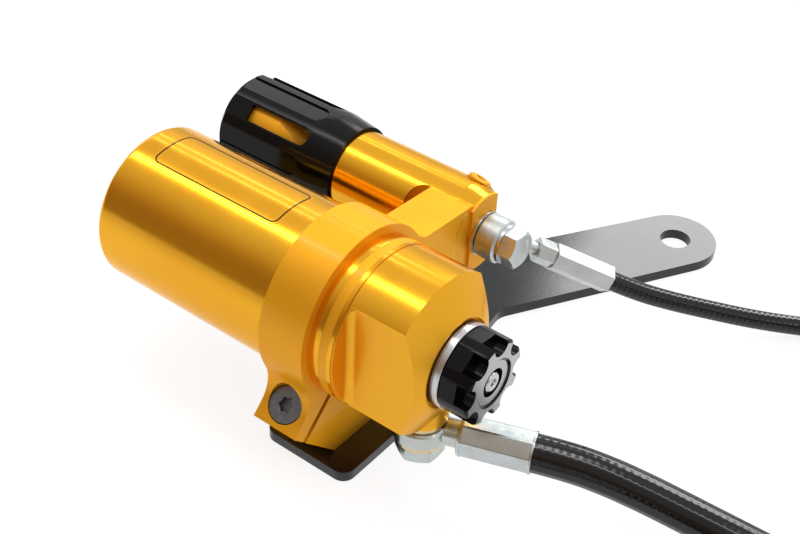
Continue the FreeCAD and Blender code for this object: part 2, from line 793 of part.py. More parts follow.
def bracket_plate():
    """The flat mounting plate: base under the clamp's foot, slanting neck and round-ended arm."""
    body = new_body("bracket_plate")
    along_x = "cos(arm_angle * 1deg)"
    along_y = "sin(arm_angle * 1deg)"
    near_x = f"(arm_hole_x + arm_half_width * {along_y})"
    near_y = f"(arm_hole_y - arm_half_width * {along_x})"
    far_along_x = "cos(arm_far_angle * 1deg)"
    far_along_y = "sin(arm_far_angle * 1deg)"
    far_x = f"(arm_hole_x - arm_half_width * {far_along_y})"
    far_y = f"(arm_hole_y + arm_half_width * {far_along_x})"
    near_run = f"(({near_x} - neck_right_x) / {along_x})"
    far_run = f"(({far_x} + neck_left_x) / {far_along_x})"
    outline = new_sketch(body)
    polygon(outline, [
        ("-plate_left", "-plate_near"),
        ("plate_right", "-plate_near"),
        ("plate_right", "neck_y"),
        ("neck_right_x", f"{near_y} - {near_run} * {along_y}"),
        (near_x, near_y),
        (far_x, far_y),
        ("-neck_left_x", f"{far_y} - {far_run} * {far_along_y}"),
        ("-plate_left", "neck_left_y"),
    ])
    extrude(body, outline, "plate_thickness")
    tip = new_sketch(body)
    circle(tip, "arm_hole_x", "arm_hole_y", "arm_half_width")
    extrude(body, tip, "plate_thickness")
    holes = [("arm_hole_x", "arm_hole_y", "arm_hole_radius")]
    for side in (1, -1):
        holes.append(("0", f"{side} * plate_screw_y", "plate_screw_thread + 4 * slip_fit"))
    for x, y, radius in holes:
        hole = new_sketch(body)
        circle(hole, x, y, radius)
        removes(body, lambda: extrude(body, hole, "3 * plate_thickness", cut=True, both=True))

    def upright_at(x, y):
        def test(edge):
            box = edge.BoundBox
            upright = box.ZLength > 1 and box.XLength < 0.01 and box.YLength < 0.01
            return upright and near(box.XMin, x, 0.1) and near(box.YMin, y, 0.1)
        return test

    near_edge = value("-plate_near")
    corners = [(value("-plate_left"), near_edge), (value("plate_right"), near_edge)]
    soften(body, lambda e: any(upright_at(*c)(e) for c in corners), "plate_corner")
    bend_y = value(f"{near_y} - {near_run} * {along_y}")
    soften(body, upright_at(value("neck_right_x"), bend_y), "arm_fillet")
    far_bend_y = value(f"{far_y} - {far_run} * {far_along_y}")
    soften(body, upright_at(value("-neck_left_x"), far_bend_y), "arm_outer_round")
    soften(body, upright_at(value("plate_right"), value("neck_y")), "arm_outer_round")

    def under_screw(edge):
        box = edge.BoundBox
        return near(box.ZMax, 0, 0.01) and near(box.XMax, value("plate_screw_thread + 4 * slip_fit"), 0.01)

    sink = "plate_screw_head - plate_screw_thread - 3 * slip_fit"
    soften(body, under_screw, sink, kind="PartDesign::Chamfer")


def plate_screws():
    """Two countersunk screws that hold the plate to the clamp's foot from below."""
    screws = []
    for side, name in ((1, "far"), (-1, "near")):
        label = "plate_screw_" + name
        body = turned(label, [
            ("slip_fit", "0"),
            ("plate_screw_length", "0"),
            ("plate_screw_length", "plate_screw_thread - slip_fit"),
            ("slip_fit + plate_screw_head - plate_screw_thread + slip_fit", "plate_screw_thread - slip_fit"),
            ("slip_fit", "plate_screw_head"),
        ], y=f"{side} * plate_screw_y", z="0", turn=TO_Z)
        socket = new_sketch(body, "YZ", shift=("0", "0", "slip_fit"))
        hexagon(socket, "plate_screw_thread * 1.2")
        removes(body, lambda: extrude(body, socket, "plate_screw_thread * 0.8", cut=True, back=True))
        screws.append(label)
    group("plate_screws", screws)


def group(label, members):
    """Several like pieces under one name, each still a solid of its own."""
    compound = doc.addObject("Part::Compound", "group_" + label)
    compound.Label = label
    compound.Links = [parts.pop(name) for name in members]
    parts[label] = compound


def end_cap():
    """The billet head: threaded spigot, flange, body with two wrench flats, cone, and the hose port."""
    left = "(tube_right - spigot_length)"
    body = turned("end_cap", [
        (left, "oil_bore_radius"),
        (left, f"{BORE} - slip_fit"),
        ("tube_right", f"{BORE} - slip_fit"),
        ("tube_right", "tube_radius"),
        (f"{CAP_SHOULDER} - cap_groove", "tube_radius"),
        (f"{CAP_SHOULDER} - cap_groove", "tube_radius - cap_groove"),
        (CAP_SHOULDER, "tube_radius - cap_groove"),
        (CAP_SHOULDER, "tube_radius"),
        (CAP_CONE_START, "tube_radius"),
        (CAP_NOSE, "cap_nose_radius"),
        (CAP_NOSE, "cap_nose_radius - cap_groove"),
        (RING_BACK, "cap_nose_radius - cap_groove"),
        (RING_BACK, "housing_thread + slip_fit"),
        (HOUSING_BACK, "housing_thread + slip_fit"),
        (HOUSING_BACK, "seat_bore"),
        (CHAMBER_BACK, "seat_bore"),
        (CHAMBER_BACK, "oil_way"),
        (f"{left} + oil_bore_depth", "oil_way"),
        (f"{left} + oil_bore_depth", "oil_bore_radius"),
    ])
    for side in (1, -1):
        flat = new_sketch(body)
        polygon(flat, [
            (CAP_SHOULDER, f"{side} * cap_half_flats"),
            (f"{CAP_NOSE} + 1", f"{side} * cap_half_flats"),
            (f"{CAP_NOSE} + 1", f"{side} * 1.2 * tube_radius"),
            (CAP_SHOULDER, f"{side} * 1.2 * tube_radius"),
        ])
        removes(body, lambda: extrude(body, flat, "3 * tube_radius", cut=True, both=True))
    shoulder = value(CAP_SHOULDER)
    half = value("cap_half_flats")

    def at_flat_root(edge):
        box = edge.BoundBox
        straight = box.XLength < 0.01 and box.YLength < 0.01 and box.ZLength > 5
        return straight and near(box.XMin, shoulder) and near(abs(box.YMin), half)

    soften(body, at_flat_root, "cap_flat_round")

    seat = ("0", "0", "-tube_radius - port_boss_drop")
    boss = new_sketch(body, shift=seat)
    circle(boss, "main_port_x", "0", "port_boss_radius")
    extrude(body, boss, "tube_radius - housing_thread - 5")
    thread = new_sketch(body, shift=seat)
    circle(thread, "main_port_x", "0", "main_bolt_thread")
    removes(body, lambda: extrude(body, thread, "main_bolt_depth", cut=True, back=True))
    way = new_sketch(body, shift=seat)
    circle(way, "main_port_x", "0", "oil_way / 2")
    removes(body, lambda: extrude(body, way, "tube_radius - housing_thread + 1", cut=True, back=True))
    seal_x = f"({left} + spigot_seal_x)"
    seal_seat(body, seal_x, BORE)
    ring("end_cap_o_ring", "seal_section", f"{BORE} - seal_section - slip_fit / 2", seal_x)


def compression_adjuster():
    """The damping adjuster in the end cap: housing, shaft, needle, seat, check shim, knob and clicks."""
    stem_front = f"({RING_FRONT} + housing_stem_length)"
    collar = f"({RING_BACK} + 1.5)"
    housing = turned("adjuster_housing", [
        (HOUSING_BACK, "housing_bore"),
        (HOUSING_BACK, "housing_thread"),
        (f"{HOUSING_BACK} + 1", "housing_thread"),
        (f"{HOUSING_BACK} + 1", "housing_thread - 3"),
        (f"{HOUSING_BACK} + 4.5", "housing_thread - 3"),
        (f"{HOUSING_BACK} + 4.5", "housing_thread"),
        (RING_BACK, "housing_thread"),
        (RING_BACK, "ring_radius"),
        (f"{RING_BACK} + ring_groove", "ring_radius"),
        (f"{RING_BACK} + ring_groove", "ring_radius - ring_groove_width"),
        (f"{RING_BACK} + ring_groove + ring_groove_width", "ring_radius - ring_groove_width"),
        (f"{RING_BACK} + ring_groove + ring_groove_width", "ring_radius"),
        (RING_FRONT, "ring_radius"),
        (RING_FRONT, "housing_stem"),
        (stem_front, "housing_stem"),
        (stem_front, "shaft_radius + slip_fit"),
        (collar, "shaft_radius + slip_fit"),
        (collar, "needle_radius + slip_fit"),
        (f"{HOUSING_BACK} + 6", "needle_radius + slip_fit"),
        (f"{HOUSING_BACK} + 6", "housing_bore"),
    ])
    soften(housing, lambda e: near(e.BoundBox.XMin, value(RING_FRONT)) and near(e.BoundBox.YMax, value("ring_radius")),
           "cap_groove")
    cross = new_sketch(housing, shift=("0", "0", "0"))
    circle(cross, f"{HOUSING_BACK} + 2.7", "0", "port_radius")
    removes(housing, lambda: extrude(housing, cross, "3 * housing_thread", cut=True, both=True))
    pocket = new_sketch(housing, "YZ", shift=("0", "0", RING_FRONT))
    circle(pocket, "0", "detent_place", "detent_ball_radius + slip_fit")
    removes(housing, lambda: extrude(housing, pocket, "detent_pocket", cut=True))

    ball_x = f"({KNOB_BACK} - detent_ball_radius)"
    turned_ball("detent_ball", "detent_ball_radius", ball_x, z="axis_height + detent_place")
    spring("detent_spring", f"{RING_FRONT} - detent_pocket", f"{ball_x} - detent_ball_radius",
           "detent_ball_radius * 0.72", "detent_ball_radius * 0.2", 3, z="axis_height + detent_place")

    seat = turned("valve_seat", [
        (SEAT_BACK, "seat_hole"),
        (HOUSING_BACK, "seat_hole"),
        (HOUSING_BACK, "seat_bore - slip_fit"),
        (SEAT_BACK, "seat_bore - slip_fit"),
    ])
    port = new_sketch(seat, "YZ")
    circle(port, "0", "(seat_hole + seat_bore) / 2", "seat_hole * 0.3")
    hole = removes(seat, lambda: extrude(seat, port, "4 * tube_radius", cut=True, both=True))
    around(seat, hole, "6")
    turned("check_shim", [
        (f"{SEAT_BACK} - shim_thickness", "seat_hole + slip_fit"),
        (SEAT_BACK, "seat_hole + slip_fit"),
        (SEAT_BACK, "seat_bore - 3 * slip_fit"),
        (f"{SEAT_BACK} - shim_thickness", "seat_bore - 3 * slip_fit"),
    ])
    spring("check_spring", CHAMBER_BACK, f"{SEAT_BACK} - shim_thickness", "seat_bore * 0.85", "0.45", 3)

    needle_back = f"({SEAT_BACK} + 1)"
    needle_front = f"({needle_back} + needle_length)"
    needle = turned("metering_needle", [
        (needle_back, "0"),
        (needle_front, "0"),
        (needle_front, "needle_radius"),
        (f"{needle_front} - 6", "needle_radius"),
        (f"{needle_front} - 6", "needle_radius - 0.8"),
        (f"{needle_back} + needle_cone", "needle_radius - 0.8"),
        (needle_back, "needle_tip"),
    ])
    drive = new_sketch(needle, "YZ", shift=("0", "0", needle_front))
    square(drive, "drive_square / 2 + slip_fit")
    removes(needle, lambda: extrude(needle, drive, "drive_depth", cut=True))

    shaft_back = f"({collar} - shaft_collar)"
    knob_floor = f"({KNOB_FRONT} - knob_recess_depth)"
    shaft = turned("adjuster_shaft", [
        (shaft_back, "0"),
        (f"{knob_floor} - slip_fit", "0"),
        (f"{knob_floor} - slip_fit", "shaft_radius"),
        (f"{collar} - slip_fit", "shaft_radius"),
        (f"{collar} - slip_fit", "needle_radius - slip_fit"),
        (shaft_back, "needle_radius - slip_fit"),
    ])
    tang = new_sketch(shaft, "YZ", shift=("0", "0", shaft_back))
    square(tang, "drive_square / 2")
    extrude(shaft, tang, "drive_depth - shaft_collar", back=True)
    tap = new_sketch(shaft, "YZ", shift=("0", "0", knob_floor))
    circle(tap, "0", "0", "knob_screw_thread + slip_fit")
    removes(shaft, lambda: extrude(shaft, tap, "knob_screw_length", cut=True))

    knob = turned("compression_knob", [
        (KNOB_BACK, "housing_stem + slip_fit"),
        (KNOB_BACK, "knob_radius"),
        (f"{KNOB_FRONT} - (knob_radius - knob_front_radius)", "knob_radius"),
        (KNOB_FRONT, "knob_front_radius"),
        (KNOB_FRONT, "knob_dish_radius"),
        (f"{KNOB_FRONT} - knob_dish", "knob_dish_radius - 1"),
        (f"{KNOB_FRONT} - knob_dish", "knob_recess"),
        (knob_floor, "knob_recess"),
        (knob_floor, "shaft_radius + slip_fit"),
        (f"{stem_front} + face_gap", "shaft_radius + slip_fit"),
        (f"{stem_front} + face_gap", "housing_stem + slip_fit"),
    ])
    gap_angle = "(knob_lobe_angle + 180 / knob_lobes)"
    facet = new_sketch(knob, "YZ", turn=FreeCAD.Rotation(V(0, 0, 1), value(gap_angle)))
    polygon(facet, [
        ("knob_facet", "-knob_radius / 2"),
        ("2 * knob_radius", "-knob_radius / 2"),
        ("2 * knob_radius", "knob_radius / 2"),
        ("knob_facet", "knob_radius / 2"),
    ])
    flat = removes(knob, lambda: extrude(knob, facet, "4 * tube_radius", cut=True, both=True))
    around(knob, flat, "knob_lobes")
    scallop = new_sketch(knob, "YZ", turn=FreeCAD.Rotation(V(0, 0, 1), value(gap_angle)),
                         shift=("0", "0", f"{KNOB_BACK} + knob_base"))
    circle(scallop, "knob_scallop_place", "0", "knob_scallop")
    notch = removes(knob, lambda: extrude(knob, scallop, "knob_length", cut=True, back=True))
    around(knob, notch, "knob_lobes")
    clicks = new_sketch(knob, "YZ", shift=("0", "0", KNOB_BACK))
    circle(clicks, "0", "detent_place", "detent_ball_radius * 0.5")
    click = removes(knob, lambda: extrude(knob, clicks, "detent_ball_radius * 0.3", cut=True, back=True))
    around(knob, click, "24")

    screw = turned("knob_screw", [
        (f"{knob_floor} - knob_screw_length + 1", "0"),
        (f"{knob_floor} + knob_screw_head", "0"),
        (f"{knob_floor} + knob_screw_head", "knob_screw_radius - 0.5"),
        (f"{knob_floor} + knob_screw_head - 0.5", "knob_screw_radius"),
        (knob_floor, "knob_screw_radius"),
        (knob_floor, "knob_screw_thread"),
        (f"{knob_floor} - knob_screw_length + 1", "knob_screw_thread"),
    ])
    star_socket(screw, f"{knob_floor} + knob_screw_head", "knob_screw_radius * 0.5", "knob_screw_head * 0.6")


def square(sketch, half):
    polygon(sketch, [
        (f"-({half})", f"-({half})"),
        (half, f"-({half})"),
        (half, half),
        (f"-({half})", half),
    ])


def turned_ball(label, radius, x, y="0", z="axis_height"):
    ball = doc.addObject("Part::Sphere", label)
    ball.Label = label
    bind(ball, "Radius", radius)
    for axis, words in zip("xyz", (x, y, z)):
        bind(ball, "Placement.Base." + axis, words)
    parts[label] = ball


def arc_towards(start, heading, end):
    """The arc, or line, that leaves start along heading and reaches end."""
    chord = end - start
    angle = heading.getAngle(chord)
    if angle < 1e-4:
        return Part.LineSegment(start, end).toShape()
    side = heading - chord * (heading.dot(chord) / chord.dot(chord))
    side.normalize()
    middle = (start + end) * 0.5 + side * (chord.Length / 2 * math.tan(angle / 2))
    return Part.Arc(start, middle, end).toShape()


def biarc(start, start_way, end, end_way):
    """Two tangent arcs from start to end, with the given headings at the two ends."""
    chord = end - start
    total = start_way + end_way
    square_term = 2 * (1 - start_way.dot(end_way))
    across = chord.dot(total)
    if square_term < 1e-9:
        reach = chord.dot(chord) / (4 * chord.dot(end_way))
    else:
        reach = (-across + math.sqrt(across ** 2 + square_term * chord.dot(chord))) / square_term
    joint = (start + end + (start_way - end_way) * reach) * 0.5
    first = arc_towards(start, start_way, joint)
    second = arc_towards(end, end_way * -1, joint)
    return [first, second]


def pipe(edges, start, heading, radius):
    """A round solid along edges that begin at start along heading."""
    wire = Part.Wire(edges)
    profile = Part.Wire(Part.makeCircle(radius, start, heading))
    return wire.makePipeShell([profile], True, False)


def least_gap(edges, radius, apart):
    """The least gap between points of one tube that lie more than apart from each other along it."""
    wire = Part.Wire(edges)
    count = 240
    points = wire.discretize(Number=count)
    skip = math.ceil(apart / (wire.Length / (count - 1)))
    gaps = [(points[j] - points[i]).Length for i in range(count) for j in range(i + skip, count)]
    return min(gaps) - 2 * radius


def feature(label, shape):
    item = doc.addObject("Part::Feature", label)
    item.Label = label
    item.Shape = shape
    parts[label] = item
    return item


def spring(label, back, front, radius, wire, turns, y="0", z="axis_height"):
    """A coil spring along X between two faces, wound in quarter turns."""
    wire_radius = value(wire)
    ring_radius = value(radius) - wire_radius
    begin = value(back) + wire_radius
    length = value(front) - value(back) - 2 * wire_radius
    quarters = 4 * turns
    rise = length / quarters
    slope = rise / (math.pi / 2 * ring_radius)

    def place(i):
        angle = math.pi / 2 * i
        return V(begin + rise * i, ring_radius * math.cos(angle), ring_radius * math.sin(angle))

    def way(i):
        angle = math.pi / 2 * i
        heading = V(slope, -math.sin(angle), math.cos(angle))
        return heading.normalize()

    edges = []
    for i in range(quarters):
        edges += biarc(place(i), way(i), place(i + 1), way(i + 1))
    item = feature(label, pipe(edges, place(0), way(0), wire_radius))
    item.Placement = FreeCAD.Placement(V(0, value(y), value(z)), FreeCAD.Rotation())
    gap = least_gap(edges, wire_radius, math.pi * ring_radius)
    print(f"{label}: least gap to itself {gap:.2f}")


def washers(label, bolt, thickness, places, y="0", z="axis_height", turn=None, x="0"):
    """Sealing washers along one bolt: places are (start, outer radius)."""
    names = []
    for i, (start, outer) in enumerate(places, start=1):
        name = f"{label}_{i}"
        turned(name, [
            (start, f"{bolt} + 3 * slip_fit"),
            (f"{start} + {thickness}", f"{bolt} + 3 * slip_fit"),
            (f"{start} + {thickness}", outer),
            (start, outer),
        ], x, y, z, turn)
        names.append(name)
    group(label, names)


def banjo_bolt(label, across, head, bolt, grip, depth, x, y, z, turn):
    """A drilled bolt: its head is on the low side of the body's own X axis, its tip on the high side."""
    body = new_body(label, x, y, z, turn)
    top = new_sketch(body, "YZ")
    hexagon(top, across)
    extrude(body, top, head, back=True)

    shank = new_sketch(body)
    polygon(shank, [
        ("0", "0"),
        (f"{grip} + {depth} - 1", "0"),
        (f"{grip} + {depth} - 1", f"{bolt} - slip_fit"),
        ("0", f"{bolt} - slip_fit"),
    ])
    revolve(body, shank)
    corner = new_sketch(body)
    reach = f"({across} / sqrt(3))"
    polygon(corner, [
        (f"-{head}", f"{across} * 0.48"),
        (f"-{head}", f"{reach} + 1"),
        (f"-{head} + ({reach} + 1 - {across} * 0.48) * 0.577", f"{reach} + 1"),
    ])
    removes(body, lambda: revolve(body, corner, cut=True))
    dish = new_sketch(body)
    polygon(dish, [
        (f"-{head}", "0"),
        (f"-{head}", f"{across} * 0.34"),
        (f"-{head} + 0.5", f"{across} * 0.28"),
        (f"-{head} + 0.5", "0"),
    ])
    removes(body, lambda: revolve(body, dish, cut=True))
    drill = new_sketch(body)
    polygon(drill, [
        (f"{grip} / 2 - {bolt} * 0.4", "0"),
        (f"{grip} + {depth}", "0"),
        (f"{grip} + {depth}", f"{bolt} * 0.4"),
        (f"{grip} / 2 - {bolt} * 0.4", f"{bolt} * 0.4"),
    ])
    removes(body, lambda: revolve(body, drill, cut=True))
    side = new_sketch(body)
    circle(side, f"{grip} / 2", "0", f"{bolt} * 0.36")
    removes(body, lambda: extrude(body, side, f"4 * {bolt}", cut=True, both=True))
    return body


def preload_adjuster():
    """The hydraulic preload adjuster's moving pieces and its gland, inside and over the bracket's cylinder."""
    place = {"y": "preload_y", "z": PRELOAD_Z}
    turned("preload_gland", [
        ("-preload_left", "spindle_shaft + slip_fit"),
        ("-chamber_left", "spindle_shaft + slip_fit"),
        ("-chamber_left", "gland_radius - slip_fit"),
        ("-preload_left", "gland_radius - slip_fit"),
    ], **place)

    wall_inside = "(grip_end_wall - grip_left)"
    cone_start = f"({wall_inside} + spindle_barrel)"
    cone_end = f"({cone_start} + spindle_cone)"
    ball_x = "(face_gap - chamber_left - thrust_ball_radius)"
    shaft_end = f"({ball_x} - thrust_ball_radius - slip_fit)"
    spindle = turned("preload_spindle", [
        (wall_inside, "0"),
        (shaft_end, "0"),
        (shaft_end, "spindle_shaft"),
        (cone_end, "spindle_shaft"),
        (cone_end, "spindle_neck"),
        (cone_start, "spindle_radius"),
        (wall_inside, "spindle_radius"),
    ], **place)
    tap = new_sketch(spindle, "YZ", shift=("0", "0", wall_inside))
    circle(tap, "0", "0", "grip_screw_thread + slip_fit")
    removes(spindle, lambda: extrude(spindle, tap, "grip_screw_length", cut=True, back=True))

    turned_ball("thrust_ball", "thrust_ball_radius", ball_x, **place)
    piston_left = "(face_gap - chamber_left)"
    piston_right = f"({piston_left} + drive_piston_length)"
    piston = turned("preload_piston", [
        (piston_left, "0"),
        (piston_right, "0"),
        (piston_right, "chamber_radius - slip_fit"),
        (piston_left, "chamber_radius - slip_fit"),
    ], **place)
    seal_x = f"({piston_left} + drive_piston_length / 2)"
    seal_seat(piston, seal_x, "chamber_radius")
    ring("preload_piston_seal", "seal_section", "chamber_radius - seal_section - slip_fit / 2", seal_x, **place)

    rim = "(-grip_right)"
    counterbore = "(preload_radius + 4 * slip_fit)"
    knob = turned("preload_knob", [
        ("-grip_left", "grip_screw_thread + 4 * slip_fit"),
        ("-grip_left", "grip_radius - grip_edge"),
        ("grip_edge - grip_left", "grip_radius"),
        (f"{rim} - grip_taper", "grip_radius"),
        (rim, "grip_rim_radius"),
        (rim, counterbore),
        (f"{rim} - grip_counterbore_length", counterbore),
        (f"{rim} - grip_counterbore_length", "grip_bore"),
        (wall_inside, "grip_bore"),
        (wall_inside, "grip_screw_thread + 4 * slip_fit"),
    ], **place)
    cone = new_sketch(knob)
    polygon(cone, [
        ("-grip_left", "0"),
        ("grip_screw_head - grip_left", "0"),
        ("grip_screw_head - grip_left", "grip_screw_radius + 4 * slip_fit"),
        ("-grip_left", "grip_screw_radius + 4 * slip_fit"),
    ])
    removes(knob, lambda: revolve(knob, cone, cut=True))
    tip = "(flute_end + grip_right)"
    flute_turn = FreeCAD.Rotation(V(1, 0, 0), value("flute_angle") - 90)
    lift = value("grip_radius - flute_depth")
    flute = new_sketch(knob, "XY", turn=flute_turn)
    raise_sketch(flute, flute_turn, "grip_radius - flute_depth")
    slot(flute, "-grip_left - 1", f"-{tip}", "flute_width / 2")
    cut = removes(knob, lambda: extrude(knob, flute, "2 * flute_depth", cut=True, back=True))
    around(knob, cut, "flutes")
    window = new_sketch(knob, "XY", turn=flute_turn)
    raise_sketch(window, flute_turn, "grip_bore / 2")
    slot(window, "window_left + 1 - grip_left", f"-({tip} + window_end - flute_end)", "window_width / 2")
    cut = removes(knob, lambda: extrude(knob, window, "grip_radius", cut=True, back=True))
    around(knob, cut, "flutes / 2")

    screw = turned("preload_knob_screw", [
        ("-grip_left", "0"),
        (f"{wall_inside} + grip_screw_length - 1", "0"),
        (f"{wall_inside} + grip_screw_length - 1", "grip_screw_thread"),
        ("grip_screw_head - grip_left", "grip_screw_thread"),
        ("grip_screw_head - grip_left", "grip_screw_radius"),
        ("-grip_left", "grip_screw_radius"),
    ], **place)
    socket = new_sketch(screw, "YZ", shift=("0", "0", "-grip_left"))
    hexagon(socket, "grip_screw_thread * 1.6")
    removes(screw, lambda: extrude(screw, socket, "grip_screw_head * 0.7", cut=True, back=True))


def raise_sketch(sketch, turn, height):
    """Lifts a turned sketch along its own normal."""
    normal = turn.multVec(V(0, 0, 1))
    for axis, share in zip("xyz", normal):
        bind(sketch, "AttachmentOffset.Base." + axis, f"({height}) * {share:.9f}")


def slot(sketch, left, right, half_width):
    """A slot along X with a square left end and a round right end; right is the round end's tip."""
    centre_x = f"({right} - ({half_width}))"
    centre = V(value(centre_x), 0, 0)
    size = value(half_width)
    start = value(left)
    arc = Part.ArcOfCircle(Part.Circle(centre, V(0, 0, 1), size), -math.pi / 2, math.pi / 2)
    sketch.addGeometry(arc, False)
    corners = [V(centre.x, size, 0), V(start, size, 0), V(start, -size, 0), V(centre.x, -size, 0)]
    for i in range(3):
        sketch.addGeometry(Part.LineSegment(corners[i], corners[i + 1]), False)
    for i in range(3):
        sketch.addConstraint(Sketcher.Constraint("Coincident", i, 2, i + 1, 1))
    sketch.addConstraint(Sketcher.Constraint("Coincident", 3, 2, 0, 1))
    fix_point(sketch, 0, 3, centre_x, "0")
    fix_point(sketch, 2, 1, left, half_width)
    fix_point(sketch, 3, 1, left, f"-({half_width})")
    fix_point(sketch, 0, 2, centre_x, half_width)
    number = sketch.addConstraint(Sketcher.Constraint("DistanceX", -1, 1, 0, 1, centre.x))
    bind(sketch, f"Constraints[{number}]", centre_x)


def bleed_screw():
    """The bleed plug on top of the preload cylinder."""
    turn = FreeCAD.Rotation(V(1, 0, 0), bleed_way())
    body = turned("bleed_screw", [
        (f"{BLEED_SEAT} - bleed_length + 1", "0"),
        ("bleed_reach", "0"),
        ("bleed_reach", "bleed_radius - 0.6"),
        ("bleed_reach - 0.6", "bleed_radius"),
        (BLEED_SEAT, "bleed_radius"),
        (BLEED_SEAT, "bleed_thread - slip_fit"),
        (f"{BLEED_SEAT} - bleed_length + 1", "bleed_thread - slip_fit"),
    ], "bleed_x", "preload_y", PRELOAD_Z, turn)
    socket = new_sketch(body, "YZ", shift=("0", "0", "bleed_reach"))
    hexagon(socket, "bleed_thread * 1.4")
    removes(body, lambda: extrude(body, socket, "bleed_thread * 0.8", cut=True))


MAIN_GRIP = "(main_banjo_height + 2 * main_washer_thickness)"
MAIN_SEAT_Z = "(axis_height - tube_radius - port_boss_drop)"
MAIN_EYE_Z = f"({MAIN_SEAT_Z} - main_washer_thickness - main_banjo_height / 2)"
PRELOAD_GRIP = "(preload_banjo_width + 2 * washer_thickness)"


def main_fitting():
    """The big hose's banjo, its bolt, washers and ferrule, under the end cap."""
    turn = FreeCAD.Rotation(V(0, 0, 1), value("main_hose_angle"))
    head_face = f"({MAIN_SEAT_Z} - {MAIN_GRIP})"
    banjo_bolt("main_banjo_bolt", "main_bolt_hex", "main_bolt_head", "main_bolt_thread", MAIN_GRIP,
               "main_bolt_depth", "main_port_x", "0", head_face, TO_Z)
    places = [("0", "main_washer_radius"), (f"{MAIN_GRIP} - main_washer_thickness", "main_washer_radius")]
    washers("main_washers", "main_bolt_thread", "main_washer_thickness", places, "0", head_face, TO_Z,
            "main_port_x")
    straight_banjo("main_banjo", MAIN_END, "main_port_x", "0", MAIN_EYE_Z, turn * TO_Z)
    ferrule("main_ferrule", MAIN_END, "main_port_x", "0", MAIN_EYE_Z, turn)
    reach = value("main_ferrule_end")
    along = turn.multVec(V(1, 0, 0))
    return V(value("main_port_x"), 0, value(MAIN_EYE_Z)) + along * reach, along


def preload_fitting():
    """The small hose's banjo with its bent neck, bolt, washers, hose nut and sleeve."""
    seat = "preload_boss_end"
    place = ("preload_y", PRELOAD_Z)
    banjo_bolt("preload_banjo_bolt", "preload_bolt_hex", "preload_bolt_head", "preload_bolt_thread",
               PRELOAD_GRIP, "preload_bolt_depth", f"{seat} + {PRELOAD_GRIP}", *place,
               FreeCAD.Rotation(V(0, 0, 1), 180))
    places = [("0", "preload_washer_radius"), (f"{PRELOAD_GRIP} - washer_thickness", "preload_washer_outer")]
    washers("preload_washers", "preload_bolt_thread", "washer_thickness", places, *place, None, seat)

    eye_x = value(f"{seat} + washer_thickness + preload_banjo_width / 2")
    eye = V(eye_x, value("preload_y"), value(PRELOAD_Z))
    drop = math.radians(value("preload_neck_drop"))
    first = V(0, math.cos(drop), -math.sin(drop))
    turn = FreeCAD.Rotation(value("preload_hose_yaw"), value("preload_hose_pitch"), 0)
    second = turn.multVec(V(1, 0, 0))
    corner = eye + first * value("preload_neck_corner")
    width = value("preload_banjo_width")
    bolt = value("preload_bolt_thread + slip_fit")
    neck = value("preload_neck_radius")
    tail = corner + second * value("preload_nut_start + 3")
    bend = 3.2
    back = bend * math.tan(first.getAngle(second) / 2)
    a = corner - first * back
    b = corner + second * back
    edges = [
        Part.LineSegment(eye + first * (bolt + 1), a).toShape(),
        arc_towards(a, first, b),
        Part.LineSegment(b, tail).toShape(),
    ]
    stem = pipe(edges, eye + first * (bolt + 1), first, neck)
    X = V(1, 0, 0)
    rim = Part.makeCylinder(value("preload_banjo_radius"), width, eye - X * (width / 2), X)
    rim = rim.makeChamfer(0.8, rim.Edges[0:1] + rim.Edges[2:3])
    hole = Part.makeCylinder(bolt, 2 * width, eye - X * width, X)
    way = Part.makeCylinder(neck * 0.4, value("preload_banjo_radius"), eye, first)
    feature("preload_banjo", rim.fuse(stem).cut(hole).cut(way).removeSplitter())

    nut = new_body("preload_hose_nut", turn=turn)
    for axis, number in zip("xyz", corner):
        nut.setExpression("Placement.Base." + axis, None)
    nut.Placement = FreeCAD.Placement(corner, turn)
    outline = new_sketch(nut, "YZ", shift=("0", "0", "preload_nut_start"))
    hexagon(outline, "preload_nut_across")
    extrude(nut, outline, "preload_nut_length")
    hole = new_sketch(nut, "YZ", shift=("0", "0", "preload_nut_start"))
    circle(hole, "0", "0", "preload_neck_radius + slip_fit")
    removes(nut, lambda: extrude(nut, hole, "preload_nut_length - 1", cut=True, back=True))

    start = "(preload_nut_start + preload_nut_length)"
    sleeve = turned("preload_ferrule", [
        (start, "0"),
        (f"{start} + preload_ferrule_length", "0"),
        (f"{start} + preload_ferrule_length", "preload_ferrule_radius"),
        (start, "preload_ferrule_radius"),
    ])
    for axis in "xyz":
        sleeve.setExpression("Placement.Base." + axis, None)
    sleeve.Placement = FreeCAD.Placement(corner, turn)
    facets(sleeve, PRELOAD_END, start, f"{start} + preload_ferrule_length")
    return corner + second * value(f"{start} + preload_ferrule_length"), second


MAIN_END = {
    "eye": "main_banjo_radius", "height": "main_banjo_height", "bolt": "main_bolt_thread",
    "neck": "main_neck_radius", "start": "main_ferrule_start", "end": "main_ferrule_end",
    "shell": "main_ferrule_radius", "flat": "main_ferrule_flat", "sides": 8, "turn": "0",
}
PRELOAD_END = {
    "eye": "preload_banjo_radius", "height": "preload_banjo_width", "bolt": "preload_bolt_thread",
    "neck": "preload_neck_radius", "start": "preload_nut_start",
    "end": "(preload_nut_start + preload_ferrule_length)", "shell": "preload_ferrule_radius",
    "flat": "preload_ferrule_flat", "sides": 6, "turn": "preload_ferrule_turn",
}


